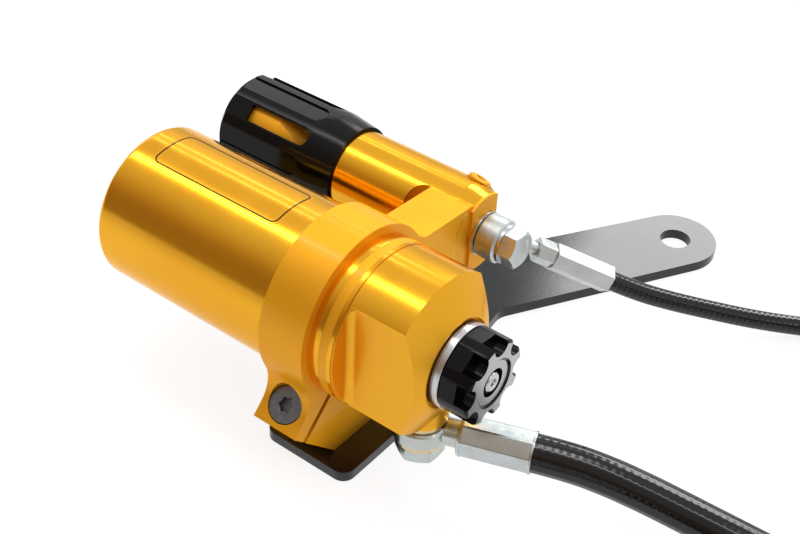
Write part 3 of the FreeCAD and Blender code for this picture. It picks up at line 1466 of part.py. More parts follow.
def straight_banjo(label, end, x, y, z, turn):
    """A banjo with a straight neck. The eye's axis is the body's own X axis, the neck lies along -Z."""
    body = new_body(label, x, y, z, turn)
    half = f"({end['height']} / 2)"
    eye = end["eye"]
    rim = new_sketch(body)
    polygon(rim, [
        (f"-{half}", "0"),
        (half, "0"),
        (half, f"{eye} - banjo_edge"),
        (f"{half} - banjo_edge", eye),
        (f"banjo_edge - {half}", eye),
        (f"-{half}", f"{eye} - banjo_edge"),
    ])
    revolve(body, rim)
    neck_start = f"({eye} - neck_inset)"
    neck = new_sketch(body, shift=("0", "0", f"-{neck_start}"))
    circle(neck, "0", "0", end["neck"])
    extrude(body, neck, f"{end['start']} + neck_overlap - {neck_start}", back=True)
    hole = new_sketch(body, "YZ")
    circle(hole, "0", "0", f"{end['bolt']} + slip_fit")
    removes(body, lambda: extrude(body, hole, f"2 * {end['height']}", cut=True, both=True))
    way = new_sketch(body)
    circle(way, "0", "0", f"{end['neck']} * 0.45")
    length = f"{end['start']} + neck_overlap + 1"
    removes(body, lambda: extrude(body, way, length, cut=True))
    return body


def ferrule(label, end, x, y, z, turn):
    """A crimped sleeve along its own X axis, round the end of a banjo's neck."""
    start, shell = end["start"], end["shell"]
    body = turned(label, [
        (start, f"{end['neck']} + slip_fit"),
        (f"{start} + neck_overlap + slip_fit", f"{end['neck']} + slip_fit"),
        (f"{start} + neck_overlap + slip_fit", "0"),
        (end["end"], "0"),
        (end["end"], shell),
        (f"{start} + 2 * banjo_edge", shell),
        (f"{start} + banjo_edge / 2", f"{shell} - banjo_edge / 2"),
        (start, f"{shell} - 2 * banjo_edge"),
    ], x, y, z, turn)
    facets(body, end, f"({start} + 2 * banjo_edge)", f"{end['end']} - banjo_edge")
    return body


def facets(body, end, start, stop):
    """The crimped flats of a sleeve, round the body's own X axis from start to stop."""
    turn = FreeCAD.Rotation(V(0, 0, 1), value(end["turn"]))
    side = new_sketch(body, "YZ", turn=turn, shift=("0", "0", start))
    shell = end["shell"]
    apothem = f"({shell} - {end['flat']})"
    polygon(side, [
        (apothem, f"-{shell}"),
        (f"2 * {shell}", f"-{shell}"),
        (f"2 * {shell}", shell),
        (apothem, shell),
    ])
    flat = removes(body, lambda: extrude(body, side, f"{stop} - {start}", cut=True, back=True))
    around(body, flat, end["sides"])


# The main hose's route: chosen points after its exit, and then a ring on the floor
MAIN_ROUTE = [
    (89.4, 20.5, 19.1),
    (100.1, 24.3, 16.2),
    (110.8, 27.9, 12.9),
    (124.3, 31.6, 9.5),
    (138.2, 33.5, 8.1),
    (149.4, 34.0, 7.7),
]
MAIN_FIRST_RUN = 11.5
MAIN_RING_RADIUS = 66
MAIN_RING_TURN = 235
PRELOAD_ROUTE = [
    (60.4, 110.9, 16.2),
    (70.0, 119.5, 12.4),
    (81.4, 129.3, 8.4),
    (91.6, 138.2, 5.5),
    (102.3, 146.3, 4.0),
    (114.6, 154.0, 3.5),
    (127.6, 160.6, 3.6),
    (141.6, 165.6, 3.8),
]
PRELOAD_FIRST_RUN = 12
PRELOAD_RING_RADIUS = 40
PRELOAD_RING_TURN = 165


def routed_hose(label, exit_point, way, first_run, route, radius):
    """A hose of straight runs joined by arcs, each as large as its two runs allow."""
    points = [exit_point, exit_point + way * first_run] + [V(*p) for p in route]
    edges = []
    here = points[0]
    radii = []
    for i in range(1, len(points) - 1):
        before = points[i] - points[i - 1]
        after = points[i + 1] - points[i]
        half = before.getAngle(after) / 2
        back = 0.45 * min(before.Length, after.Length)
        radii.append(back / math.tan(half))
        before.normalize()
        after.normalize()
        start = points[i] - before * back
        end = points[i] + after * back
        edges.append(Part.LineSegment(here, start).toShape())
        edges.append(arc_towards(start, before, end))
        here = end
    edges.append(Part.LineSegment(here, points[-1]).toShape())
    solid = pipe(edges, points[0], way, radius)
    length = sum(edge.Length for edge in edges)
    expected = math.pi * radius ** 2 * length
    runs = [(points[i + 1] - points[i]).Length for i in range(len(points) - 1)]
    print(f"{label}: length {length:.1f}, runs", [round(run, 1) for run in runs])
    print(f"{label}: radii", [round(r) for r in radii], f"volume ratio {solid.Volume / expected:.4f}")
    feature(label, solid)
    heading = points[-1] - points[-2]
    heading.normalize()
    return points[-1], heading, length


def ring_hose(label, start, heading, ring_radius, turn, radius, end_height):
    """The rest of a hose: part of a ring on the floor, clockwise seen from above."""
    straight = 2 * radius
    level = V(heading.x, heading.y, 0)
    level.normalize()
    first = start + heading * straight
    centre = first + V(level.y, -level.x, 0) * ring_radius
    out = V(first.x - centre.x, first.y - centre.y, 0)
    pieces = math.ceil(turn / 90)
    rise = (end_height - first.z) / pieces
    slope = rise / (ring_radius * math.radians(turn / pieces))

    def place(i):
        spun = FreeCAD.Rotation(V(0, 0, 1), -turn * i / pieces).multVec(out)
        return V(centre.x + spun.x, centre.y + spun.y, first.z + rise * i)

    def way(i):
        spun = FreeCAD.Rotation(V(0, 0, 1), -turn * i / pieces).multVec(level)
        return V(spun.x, spun.y, slope if 0 < i < pieces else 0).normalize()

    edges = [Part.LineSegment(start, first).toShape()]
    begin_way = heading
    for i in range(pieces):
        edges += biarc(place(i), begin_way if i == 0 else way(i), place(i + 1), way(i + 1))
    end = place(pieces) + way(pieces) * straight
    edges.append(Part.LineSegment(place(pieces), end).toShape())
    length = sum(edge.Length for edge in edges)
    solid = pipe(edges, start, heading, radius)
    print(f"{label}: length {length:.1f}, volume ratio {solid.Volume / (math.pi * radius ** 2 * length):.4f}")
    gap = least_gap(edges, radius, math.pi * ring_radius / 2)
    print(f"{label}: least gap to itself {gap:.2f}, lowest point {solid.BoundBox.ZMin:.2f}")
    feature(label, solid)
    return end, way(pieces), length


def far_end(prefix, end, start, heading):
    """The fitting on a hose's far end: its ferrule faces the hose, the eye's axis is upright."""
    reach = value(end["end"])
    centre = start + heading * reach
    angle = math.degrees(math.atan2(-heading.y, -heading.x))
    turn = FreeCAD.Rotation(V(0, 0, 1), angle)
    place = [str(round(number, 6)) for number in centre]
    straight_banjo(prefix + "_far_banjo", end, *place, turn * TO_Z)
    ferrule(prefix + "_far_ferrule", end, *place, turn)
    print(prefix, "far eye at", [round(number, 3) for number in centre])


def hoses():
    exit_point, way = main_fitting()
    radius = value("main_hose_radius")
    joint, heading, seen = routed_hose("main_hose", exit_point, way, MAIN_FIRST_RUN, MAIN_ROUTE, radius)
    tip, heading, rest = ring_hose("main_hose_coil", joint, heading, MAIN_RING_RADIUS, MAIN_RING_TURN,
                                   radius, value("main_ferrule_radius"))
    far_end("main", MAIN_END, tip, heading)
    print("main hose", round(seen + rest, 1))

    exit_point, way = preload_fitting()
    radius = value("preload_hose_radius")
    joint, heading, seen = routed_hose("preload_hose", exit_point, way, PRELOAD_FIRST_RUN, PRELOAD_ROUTE, radius)
    tip, heading, rest = ring_hose("preload_hose_coil", joint, heading, PRELOAD_RING_RADIUS,
                                   PRELOAD_RING_TURN, radius, value("preload_ferrule_radius"))
    far_end("preload", PRELOAD_END, tip, heading)
    print("preload hose", round(seen + rest, 1))


reservoir_tube()
gas_end()
floating_piston()
end_cap()
compression_adjuster()
reservoir_bracket()
clamp_screw()
bleed_screw()
bracket_plate()
plate_screws()
preload_adjuster()
hoses()
doc.recompute()

for item in doc.Objects:
    if "Invalid" in item.State or "Error" in item.State:
        raise RuntimeError(f"{item.Name} ({item.Label}) failed: {item.State}")
for label, item in parts.items():
    if item.Shape.isNull() or not item.Shape.isValid():
        raise RuntimeError(label + " has no valid shape")
for label, item in parts.items():
    item.Shape.exportStep(f"parts/{label}.step")
print(len(parts), "parts")
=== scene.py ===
# Remote reservoir of a motorcycle rear shock absorber: finishes, hoses, light and camera.
# Everything is in metres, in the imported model's frame: +X along the reservoir towards the damping
# knob, +Y towards the preload adjuster, +Z up from the plate's underside.
import json
import math

import bpy
from mathutils import Matrix, Vector


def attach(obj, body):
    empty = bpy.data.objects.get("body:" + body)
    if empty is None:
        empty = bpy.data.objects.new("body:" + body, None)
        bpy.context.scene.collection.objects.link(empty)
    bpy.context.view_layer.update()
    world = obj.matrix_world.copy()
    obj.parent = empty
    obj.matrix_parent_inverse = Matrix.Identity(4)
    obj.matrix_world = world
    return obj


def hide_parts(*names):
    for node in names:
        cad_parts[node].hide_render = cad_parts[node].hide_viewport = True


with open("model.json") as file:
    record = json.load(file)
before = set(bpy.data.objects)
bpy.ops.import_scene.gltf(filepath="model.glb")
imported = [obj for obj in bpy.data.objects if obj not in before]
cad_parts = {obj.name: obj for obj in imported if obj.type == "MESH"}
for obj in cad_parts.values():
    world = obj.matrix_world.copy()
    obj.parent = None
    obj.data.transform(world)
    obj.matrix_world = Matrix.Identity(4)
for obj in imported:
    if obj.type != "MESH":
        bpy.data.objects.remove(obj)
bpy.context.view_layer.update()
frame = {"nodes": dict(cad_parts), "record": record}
nodes = frame["nodes"]
scene = bpy.context.scene
scene.view_settings.view_transform = "Standard"

MM = 0.001

# The reservoir's axis and radius and the preload cylinder's axis, both along X
AXIS_Z = 53 * MM
TUBE_RADIUS = 27 * MM
PRELOAD_Y = 61.9 * MM
PRELOAD_Z = 49.65 * MM

# Camera: the photograph's own angle, solved together with the sizes
CAMERA_PLACE = (0.2115, -0.26275, 0.33348)
CAMERA_ANGLES = (35.97515, 38.24851, 3.05933)
CAMERA_LENS = 63.605
CAMERA_SENSOR = 36


def add_camera():
    """The angles are azimuth from -Y, elevation and roll, in degrees."""
    azimuth, elevation, roll = (math.radians(a) for a in CAMERA_ANGLES)
    back = Vector((
        math.sin(azimuth) * math.cos(elevation),
        -math.cos(azimuth) * math.cos(elevation),
        math.sin(elevation),
    ))
    level = (-back).cross(Vector((0, 0, 1))).normalized()
    upright = level.cross(-back)
    right = level * math.cos(roll) + upright * math.sin(roll)
    up = upright * math.cos(roll) - level * math.sin(roll)
    data = bpy.data.cameras.new("camera")
    data.lens = CAMERA_LENS
    data.sensor_width = CAMERA_SENSOR
    camera = bpy.data.objects.new("camera", data)
    turn = Matrix((right, up, back)).transposed().to_4x4()
    camera.matrix_world = Matrix.Translation(CAMERA_PLACE) @ turn
    scene.collection.objects.link(camera)
    scene.camera = camera


# Light: a strip above, and a tent whose brightness depends on the angle round the X axis
STRIP_SIDE = (0, -0.02, 1)
STRIP_LENGTH = 1.6


def add_strip(name, distance, width, power):
    """A long area light along X, above the part."""
    target = Vector((0, 0, AXIS_Z))
    out = Vector(STRIP_SIDE).normalized()
    along = Vector((1, 0, 0))
    across = out.cross(along)
    data = bpy.data.lights.new(name, "AREA")
    data.shape = "RECTANGLE"
    data.size = STRIP_LENGTH
    data.size_y = width
    data.energy = power
    light = bpy.data.objects.new(name, data)
    turn = Matrix((along, across, out)).transposed().to_4x4()
    light.matrix_world = Matrix.Translation(target + out * distance) @ turn
    scene.collection.objects.link(light)


NEAR_SIDE = 0.29
LINE_ANGLES = (37.5, 49)
LINE_HALF_WIDTH = 0.9
LINE_LEVEL = 4.2
DARK_TINT = (1.3, 1.0, 0.75, 1)
WHITE = (1, 1, 1, 1)


def add_world():
    """Angles are in degrees round X: 0 is towards +Y, 90 is up, 180 is towards -Y."""
    world = bpy.data.worlds.new("tent")
    scene.world = world
    world.use_nodes = True
    tree = world.node_tree
    background = tree.nodes["Background"]
    place = tree.nodes.new("ShaderNodeTexCoord")
    split = tree.nodes.new("ShaderNodeSeparateXYZ")
    tree.links.new(place.outputs["Generated"], split.inputs[0])
    radians = math_node(tree, "ARCTAN2", split.outputs["Z"], split.outputs["Y"])
    angle = math_node(tree, "MULTIPLY", radians, 180 / math.pi)

    # The tent: bright above, darker towards -Y and near the horizon
    total = ramp_between(tree, angle, 98, 158, 1.0, NEAR_SIDE)
    horizon = ramp_between(tree, angle, -8, 16, 0.55, 1.0)
    total = math_node(tree, "MULTIPLY", total, horizon)

    # Two narrow lamps in a haze, on the left
    left_side = ramp_between(tree, split.outputs["X"], -0.46, -0.42, 1.0, 0.0)
    lamps = [band(tree, angle, 20, 52, 3, 0.25)]
    for centre in LINE_ANGLES:
        low, high = centre - LINE_HALF_WIDTH, centre + LINE_HALF_WIDTH
        lamps.append(band(tree, angle, low, high, 0.6, LINE_LEVEL))
    for lamp in lamps:
        total = math_node(tree, "ADD", total, math_node(tree, "MULTIPLY", lamp, left_side))

    # One broad panel behind, in the middle
    panel_start = ramp_between(tree, split.outputs["X"], -0.388, -0.358, 0.0, 1.0)
    panel_end = ramp_between(tree, split.outputs["X"], 0.35, 0.5, 1.0, 0.0)
    panel = math_node(tree, "MULTIPLY", panel_start, band(tree, angle, 27, 43, 2, 7.5))
    panel = math_node(tree, "MULTIPLY", panel, panel_end)
    total = math_node(tree, "ADD", total, panel)
    tree.links.new(total, background.inputs["Strength"])

    # The tent's dark side is warmer
    tint = tree.nodes.new("ShaderNodeMix")
    tint.data_type = "RGBA"
    tint.inputs["A"].default_value = DARK_TINT
    tint.inputs["B"].default_value = WHITE
    tree.links.new(ramp_between(tree, total, NEAR_SIDE, 0.9, 0.0, 1.0), tint.inputs["Factor"])
    tree.links.new(tint.outputs["Result"], background.inputs["Color"])


def band(tree, source, low, high, edge, level):
    """A level between two numbers, with soft edges."""
    rise = ramp_between(tree, source, low - edge, low + edge, 0.0, level)
    fall = ramp_between(tree, source, high - edge, high + edge, 1.0, 0.0)
    return math_node(tree, "MULTIPLY", rise, fall)


def math_node(tree, operation, first, second=0.0):
    """One sum on two sockets or numbers."""
    node = tree.nodes.new("ShaderNodeMath")
    node.operation = operation
    for socket, source in zip(node.inputs, (first, second)):
        if isinstance(source, (int, float)):
            socket.default_value = source
        else:
            tree.links.new(source, socket)
    return node.outputs[0]


def ramp_between(tree, source, low, high, out_low, out_high):
    """A smooth step of a number from one level to another."""
    node = tree.nodes.new("ShaderNodeMapRange")
    node.interpolation_type = "SMOOTHSTEP"
    for key, number in (("From Min", low), ("From Max", high), ("To Min", out_low), ("To Max", out_high)):
        node.inputs[key].default_value = number
    tree.links.new(source, node.inputs["Value"])
    return node.outputs["Result"]


FLOOR_HALF = 12.0
FLOOR_DROP = 0.2 * MM
PAPER_DIFFUSE = 0.2
PAPER_GLOW = 0.84


def add_floor():
    """Pale paper that glows a little, so that it is as bright as an overlit one, with a painted pool of
    light that fades towards its near and far edges.
    """
    half = FLOOR_HALF
    corners = [(-half, -half, 0), (half, -half, 0), (half, half, 0), (-half, half, 0)]
    mesh = bpy.data.meshes.new("floor")
    mesh.from_pydata(corners, [], [(0, 1, 2, 3)])
    floor = bpy.data.objects.new("floor", mesh)
    scene.collection.objects.link(floor)
    floor.location.z = -FLOOR_DROP
    material = bpy.data.materials.new("floor")
    material.use_nodes = True
    tree = material.node_tree
    tree.nodes.clear()
    output = tree.nodes.new("ShaderNodeOutputMaterial")
    both = tree.nodes.new("ShaderNodeAddShader")
    diffuse = tree.nodes.new("ShaderNodeBsdfDiffuse")
    glow = tree.nodes.new("ShaderNodeEmission")
    place = tree.nodes.new("ShaderNodeTexCoord")
    split = tree.nodes.new("ShaderNodeSeparateXYZ")
    tree.links.new(place.outputs["Object"], split.inputs[0])
    # Painted light: the floor's glow and colour are brightest round the part and fade towards the near and
    # far edges
    near = ramp_between(tree, split.outputs["Y"], -0.5, -0.1, 0.8, 1.0)
    far = ramp_between(tree, split.outputs["Y"], 0.45, 0.9, 1.0, 0.9)
    painted_light_pool = math_node(tree, "MULTIPLY", near, far)
    tree.links.new(math_node(tree, "MULTIPLY", painted_light_pool, PAPER_DIFFUSE), diffuse.inputs["Color"])
    tree.links.new(math_node(tree, "MULTIPLY", painted_light_pool, PAPER_GLOW), glow.inputs["Strength"])
    tree.links.new(diffuse.outputs[0], both.inputs[0])
    tree.links.new(glow.outputs[0], both.inputs[1])
    tree.links.new(both.outputs[0], output.inputs["Surface"])
    mesh.materials.append(material)


# Materials: shared node work
class Finish:
    """One Principled material under construction."""

    def __init__(self, name, colour, roughness, metallic=1.0):
        self.material = bpy.data.materials.new(name)
        self.material.use_nodes = True
        self.tree = self.material.node_tree
        self.shader = self.tree.nodes["Principled BSDF"]
        self.colour = colour
        self.set("Base Color", (*colour, 1))
        self.set("Roughness", roughness)
        self.set("Metallic", metallic)
        self.normal = None

    def set(self, socket, number):
        self.shader.inputs[socket].default_value = number

    def link(self, source, socket):
        self.tree.links.new(source, self.shader.inputs[socket])

    def place(self, scale):
        """Coordinates in metres times a scale for each axis."""
        where = self.tree.nodes.new("ShaderNodeTexCoord")
        mapping = self.tree.nodes.new("ShaderNodeMapping")
        mapping.inputs["Scale"].default_value = scale
        self.tree.links.new(where.outputs["Object"], mapping.inputs["Vector"])
        return mapping.outputs[0]

    def split(self, vector):
        node = self.tree.nodes.new("ShaderNodeSeparateXYZ")
        self.tree.links.new(vector, node.inputs[0])
        return node.outputs["X"], node.outputs["Y"], node.outputs["Z"]

    def coordinates(self):
        """X, Y and Z in metres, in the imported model's frame."""
        return self.split(self.place((1, 1, 1)))

    def noise(self, *waves, detail=3.0):
        """Clouds with so many waves in a metre: one number for all axes, or one for each."""
        scale = waves if len(waves) == 3 else waves * 3
        node = self.tree.nodes.new("ShaderNodeTexNoise")
        node.inputs["Scale"].default_value = 1.0
        node.inputs["Detail"].default_value = detail
        self.tree.links.new(self.place(scale), node.inputs["Vector"])
        return node.outputs["Fac"]

    def bump(self, height, distance):
        """Adds one more layer of bump to the surface, with its height in metres."""
        node = self.tree.nodes.new("ShaderNodeBump")
        node.inputs["Strength"].default_value = 1.0
        node.inputs["Distance"].default_value = distance
        self.tree.links.new(height, node.inputs["Height"])
        if self.normal is not None:
            self.tree.links.new(self.normal, node.inputs["Normal"])
        self.normal = node.outputs[0]
        self.link(self.normal, "Normal")

    def vary_roughness(self, source, low, high):
        """Roughness that follows a cloud from one number to another."""
        self.link(ramp_between(self.tree, source, 0.3, 0.7, low, high), "Roughness")

    def vary_colour(self, source, other, low=0.35, high=0.65):
        """The finish's own colour at and below low, the other one at and above high."""
        mix = self.tree.nodes.new("ShaderNodeMix")
        mix.data_type = "RGBA"
        mix.inputs["A"].default_value = (*self.colour, 1)
        mix.inputs["B"].default_value = (*other, 1)
        self.tree.links.new(ramp_between(self.tree, source, low, high, 0.0, 1.0), mix.inputs["Factor"])
        self.link(mix.outputs["Result"], "Base Color")


# Materials: gold anodising, by how the metal under it was worked
GOLD = (0.76, 0.365, 0.012)
GOLD_DEEP = (0.73, 0.335, 0.008)
GOLD_BLASTED = (0.76, 0.37, 0.015)
FINE_GRAIN = 2400
TURNED = 0.17
TURNED_BILLET = 0.18
BLASTED = 0.6
MILLED = 0.4
GRAZING_GOLD = (1.0, 0.82, 0.5, 1)


def within(f, source, low, high):
    """1 between two numbers, 0 outside."""
    above = math_node(f.tree, "GREATER_THAN", source, low)
    below = math_node(f.tree, "LESS_THAN", source, high)
    return math_node(f.tree, "MULTIPLY", above, below)


def distance_from(f, across, up, across_0, up_0):
    """The distance from a line along X."""
    squares = []
    for place, middle in ((across, across_0), (up, up_0)):
        away = math_node(f.tree, "SUBTRACT", place, middle)
        squares.append(math_node(f.tree, "MULTIPLY", away, away))
    return math_node(f.tree, "SQRT", math_node(f.tree, "ADD", *squares))


def gold_tube():
    """Turned and anodised: very fine rings across the axis."""
    f = Finish("gold_tube", GOLD, TURNED)
    f.set("Specular Tint", GRAZING_GOLD)
    f.set("Coat Weight", 0.3)
    f.set("Coat Roughness", 0.07)
    f.vary_colour(f.noise(14, 40, 40), GOLD_DEEP)
    f.vary_roughness(f.noise(60, 25, 25), TURNED - 0.02, TURNED + 0.03)
    f.bump(f.noise(5200, 30, 30, detail=2.0), 0.006 * MM)
    return f.material


CAP_START = 15.5 * MM
CAP_END = 60 * MM


def gold_billet():
    """Blasted and anodised, with turned cylinders left bright and the end cap's flats milled."""
    f = Finish("gold_billet", GOLD, BLASTED)
    f.set("Specular Tint", GRAZING_GOLD)
    f.set("Coat Weight", 0.25)
    f.set("Coat Roughness", 0.12)
    x, y, z = f.coordinates()
    on_cap = within(f, x, CAP_START, CAP_END)

    # Turned: the preload cylinder, its end taper and the end cap's round
    from_preload = distance_from(f, y, z, PRELOAD_Y, PRELOAD_Z)
    from_axis = distance_from(f, y, z, 0, AXIS_Z)
    cylinder = within(f, from_preload, 15.25 * MM, 15.6 * MM)
    near_taper = within(f, from_preload, 13 * MM, 15.6 * MM)
    taper = math_node(f.tree, "MULTIPLY", within(f, x, 1.6 * MM, 8.4 * MM), near_taper)
    cap = math_node(f.tree, "MULTIPLY", on_cap, within(f, from_axis, 26.8 * MM, 28 * MM))
    turned = math_node(f.tree, "MAXIMUM", cylinder, taper)
    turned = math_node(f.tree, "MAXIMUM", turned, cap)

    # Milled: the rest of the end cap
    flats = math_node(f.tree, "MULTIPLY", on_cap, within(f, from_axis, 0, 40 * MM))
    rough = ramp_between(f.tree, flats, 0, 1, BLASTED, MILLED)
    drop = math_node(f.tree, "SUBTRACT", rough, TURNED_BILLET)
    level = math_node(f.tree, "SUBTRACT", rough, math_node(f.tree, "MULTIPLY", turned, drop))
    cloud = ramp_between(f.tree, f.noise(90), 0.3, 0.7, -0.02, 0.03)
    f.link(math_node(f.tree, "ADD", level, cloud), "Roughness")
    f.vary_colour(turned, GOLD_BLASTED, 1.0, 0.0)
    grain_share = ramp_between(f.tree, turned, 0, 1, 1, 0.2)
    grain = math_node(f.tree, "MULTIPLY", f.noise(2600, detail=4.0), grain_share)
    f.bump(grain, 0.012 * MM)
    return f.material


KNOB_FRONT = 55 * MM
KNOB_FRONT_END = 60 * MM


def black_anodised():
    """Turned aluminium under glossy black anodising, worn to grey on the damping knob's front."""
    f = Finish("black_anodised", (0.0025, 0.0025, 0.003), 0.2, 0.0)
    f.set("Specular IOR Level", 0.15)
    normal = f.tree.nodes.new("ShaderNodeNewGeometry").outputs["Normal"]
    facing = math_node(f.tree, "GREATER_THAN", f.split(normal)[0], 0.9)
    at_front = within(f, f.coordinates()[0], KNOB_FRONT, KNOB_FRONT_END)
    front = math_node(f.tree, "MULTIPLY", facing, at_front)
    f.vary_colour(front, (0.42, 0.42, 0.42))
    f.link(front, "Metallic")
    f.link(ramp_between(f.tree, front, 0, 1, 0.13, 0.34), "Roughness")
    f.bump(f.noise(4200, 60, 60, detail=2.0), 0.008 * MM)
    return f.material


def black_plate():
    """Smooth black coating on sheet steel, with a soft orange-peel."""
    f = Finish("black_plate", (0.003, 0.004, 0.006), 0.08, 0.0)
    f.set("Specular IOR Level", 0.45)
    f.vary_roughness(f.noise(60), 0.07, 0.11)
    f.bump(f.noise(700, detail=2.0), 0.006 * MM)
    return f.material


def zinc_fitting():
    """Bright zinc plate with faint yellow clouds, duller on the preload side."""
    f = Finish("zinc_fitting", (0.49, 0.54, 0.565), 0.24)
    f.vary_colour(f.noise(150), (0.47, 0.49, 0.46))
    dull = ramp_between(f.tree, f.coordinates()[1], 40 * MM, 55 * MM, 0.0, 0.14)
    cloud = ramp_between(f.tree, f.noise(300), 0.3, 0.7, 0.18, 0.32)
    f.link(math_node(f.tree, "ADD", dull, cloud), "Roughness")
    f.bump(f.noise(1300), 0.012 * MM)
    return f.material


def satin_sleeve():
    """Machined aluminium sleeve with a fine grain."""
    f = Finish("satin_sleeve", (0.56, 0.57, 0.57), 0.5)
    f.vary_colour(f.noise(80), (0.52, 0.53, 0.535))
    f.vary_roughness(f.noise(160), 0.46, 0.56)
    f.bump(f.noise(FINE_GRAIN), 0.01 * MM)
    return f.material


def silver_ring():
    """Polished aluminium with fine turned rings."""
    f = Finish("silver_ring", (0.52, 0.52, 0.53), 0.2)
    f.vary_roughness(f.noise(120, 60, 60), 0.16, 0.24)
    f.bump(f.noise(5200, 30, 30, detail=2.0), 0.008 * MM)
    return f.material


def dark_steel():
    """Phosphated screws."""
    f = Finish("dark_steel", (0.185, 0.2, 0.225), 0.42)
    f.vary_colour(f.noise(600), (0.15, 0.162, 0.18))
    f.bump(f.noise(FINE_GRAIN), 0.02 * MM)
    return f.material


def bright_steel():
    """Ground steel."""
    f = Finish("bright_steel", (0.52, 0.52, 0.54), 0.24)
    f.vary_roughness(f.noise(300), 0.2, 0.3)
    f.bump(f.noise(FINE_GRAIN, detail=2.0), 0.01 * MM)
    return f.material


def brass():
    """Plated brass, paler in patches."""
    f = Finish("brass", (0.60, 0.47, 0.24), 0.27)
    f.vary_colour(f.noise(200), (0.64, 0.54, 0.34))
    f.bump(f.noise(FINE_GRAIN, detail=2.0), 0.012 * MM)
    return f.material


def hose_cover():
    """Glossy black cover over a braid, whose diamonds press through it. u runs along, v round."""
    f = Finish("hose_cover", (0.002, 0.002, 0.0026), 0.1, 0.0)
    f.set("Specular IOR Level", 0.4)
    f.bump(f.noise(260), 0.06 * MM)
    f.bump(braid(f), 0.12 * MM)
    return f.material


def braid(f):
    """The height of a braid's crossing bands, in a unit square that repeats along and round the hose."""
    waves = []
    for slant in (1, -1):
        where = f.tree.nodes.new("ShaderNodeUVMap")
        along, around, _ = f.split(where.outputs[0])
        phase = math_node(f.tree, "ADD", along, math_node(f.tree, "MULTIPLY", around, slant))
        waves.append(math_node(f.tree, "SINE", math_node(f.tree, "MULTIPLY", phase, 2 * math.pi)))
    product = math_node(f.tree, "MULTIPLY", *waves)
    return math_node(f.tree, "MULTIPLY", product, 0.5)


def seal_rubber():
    f = Finish("seal_rubber", (0.012, 0.012, 0.012), 0.6, 0.0)
    f.bump(f.noise(1800), 0.03 * MM)
    return f.material


def guide_polymer():
    f = Finish("guide_polymer", (0.20, 0.16, 0.11), 0.55, 0.0)
    f.bump(f.noise(900), 0.03 * MM)
    return f.material


def spring_steel():
    f = Finish("spring_steel", (0.36, 0.36, 0.38), 0.3)
    f.bump(f.noise(1500), 0.02 * MM)
    return f.material


MAKERS = [
    gold_tube, gold_billet, black_anodised, black_plate, zinc_fitting, satin_sleeve, silver_ring,
    dark_steel, bright_steel, brass, hose_cover, seal_rubber, guide_polymer, spring_steel,
]
finishes = {make.__name__: make() for make in MAKERS}


# CAD nodes: finish from their slot, and softened edges
def dress_nodes():
    slots = {part["node"]: part["material_slot"] for part in frame["record"]["subparts"]}
    for name, node in nodes.items():
        node.data.materials.clear()
        node.data.materials.append(finishes[slots[name]])


WELD_DISTANCE = 0.002 * MM
FLAT_WITHIN = math.radians(0.4)
BEVEL_FROM = math.radians(28)
SHARP_FROM = math.radians(40)


def soften(name, width, smoothing):
    """Rounds a node's sharp edges by a modifier and shades the rest smooth."""
    node = nodes[name]
    weld = node.modifiers.new("weld", "WELD")
    weld.merge_threshold = WELD_DISTANCE
    flat = node.modifiers.new("flat", "DECIMATE")
    flat.decimate_type = "DISSOLVE"
    flat.angle_limit = FLAT_WITHIN
    bevel = node.modifiers.new("edge", "BEVEL")
    bevel.width = width
    bevel.segments = 2
    bevel.limit_method = "ANGLE"
    bevel.angle_limit = BEVEL_FROM
    bevel.use_clamp_overlap = True
    smooth = node.modifiers.new("smooth", "NODES")
    smooth.node_group = smoothing
    weigh = node.modifiers.new("weigh", "WEIGHTED_NORMAL")
    weigh.keep_sharp = True


# Width of the rounding on each node that can be seen
SOFT_EDGES = {
    "end_cap": 0.25 * MM,
    "reservoir_bracket": 0.3 * MM,
    "reservoir_tube": 0.2 * MM,
    "compression_knob": 0.12 * MM,
    "adjuster_housing": 0.15 * MM,
    "knob_screw": 0.15 * MM,
    "clamp_screw": 0.2 * MM,
    "bleed_screw": 0.25 * MM,
    "bracket_plate": 0.3 * MM,
    "preload_knob": 0.35 * MM,
    "preload_spindle": 0.2 * MM,
    "preload_banjo_bolt": 0.3 * MM,
    "preload_washers": 0.15 * MM,
    "preload_banjo": 0.8 * MM,
    "preload_hose_nut": 0.4 * MM,
    "preload_ferrule": 0.3 * MM,
    "main_banjo_bolt": 0.3 * MM,
    "main_washers": 0.3 * MM,
    "main_banjo": 0.8 * MM,
    "main_ferrule": 0.35 * MM,
    "main_far_ferrule": 0.35 * MM,
    "main_far_banjo": 0.8 * MM,
    "preload_far_ferrule": 0.3 * MM,
    "preload_far_banjo": 0.8 * MM,
    "gas_end_cap": 0.3 * MM,
    "gas_end_circlip": 0.1 * MM,
    "gas_valve": 0.15 * MM,
    "gas_valve_cap": 0.2 * MM,
    "preload_knob_screw": 0.2 * MM,
    "plate_screws": 0.2 * MM,
}


def smoothing_group():
    """Smooth faces, with edges sharper than an angle kept sharp."""
    group = bpy.data.node_groups.new("smoothing", "GeometryNodeTree")
    group.interface.new_socket("Geometry", in_out="INPUT", socket_type="NodeSocketGeometry")
    group.interface.new_socket("Geometry", in_out="OUTPUT", socket_type="NodeSocketGeometry")
    start = group.nodes.new("NodeGroupInput")
    end = group.nodes.new("NodeGroupOutput")
    edge = group.nodes.new("GeometryNodeInputMeshEdgeAngle")
    sharp = group.nodes.new("FunctionNodeCompare")
    sharp.operation = "GREATER_THAN"
    sharp.inputs["B"].default_value = SHARP_FROM
    normal = group.nodes.new("GeometryNodeSetMeshNormal")
    normal.mode = "SHARPNESS"
    group.links.new(edge.outputs["Unsigned Angle"], sharp.inputs["A"])
    group.links.new(start.outputs[0], normal.inputs["Mesh"])
    group.links.new(sharp.outputs[0], normal.inputs["Edge Sharpness"])
    group.links.new(normal.outputs[0], end.inputs[0])
    return group


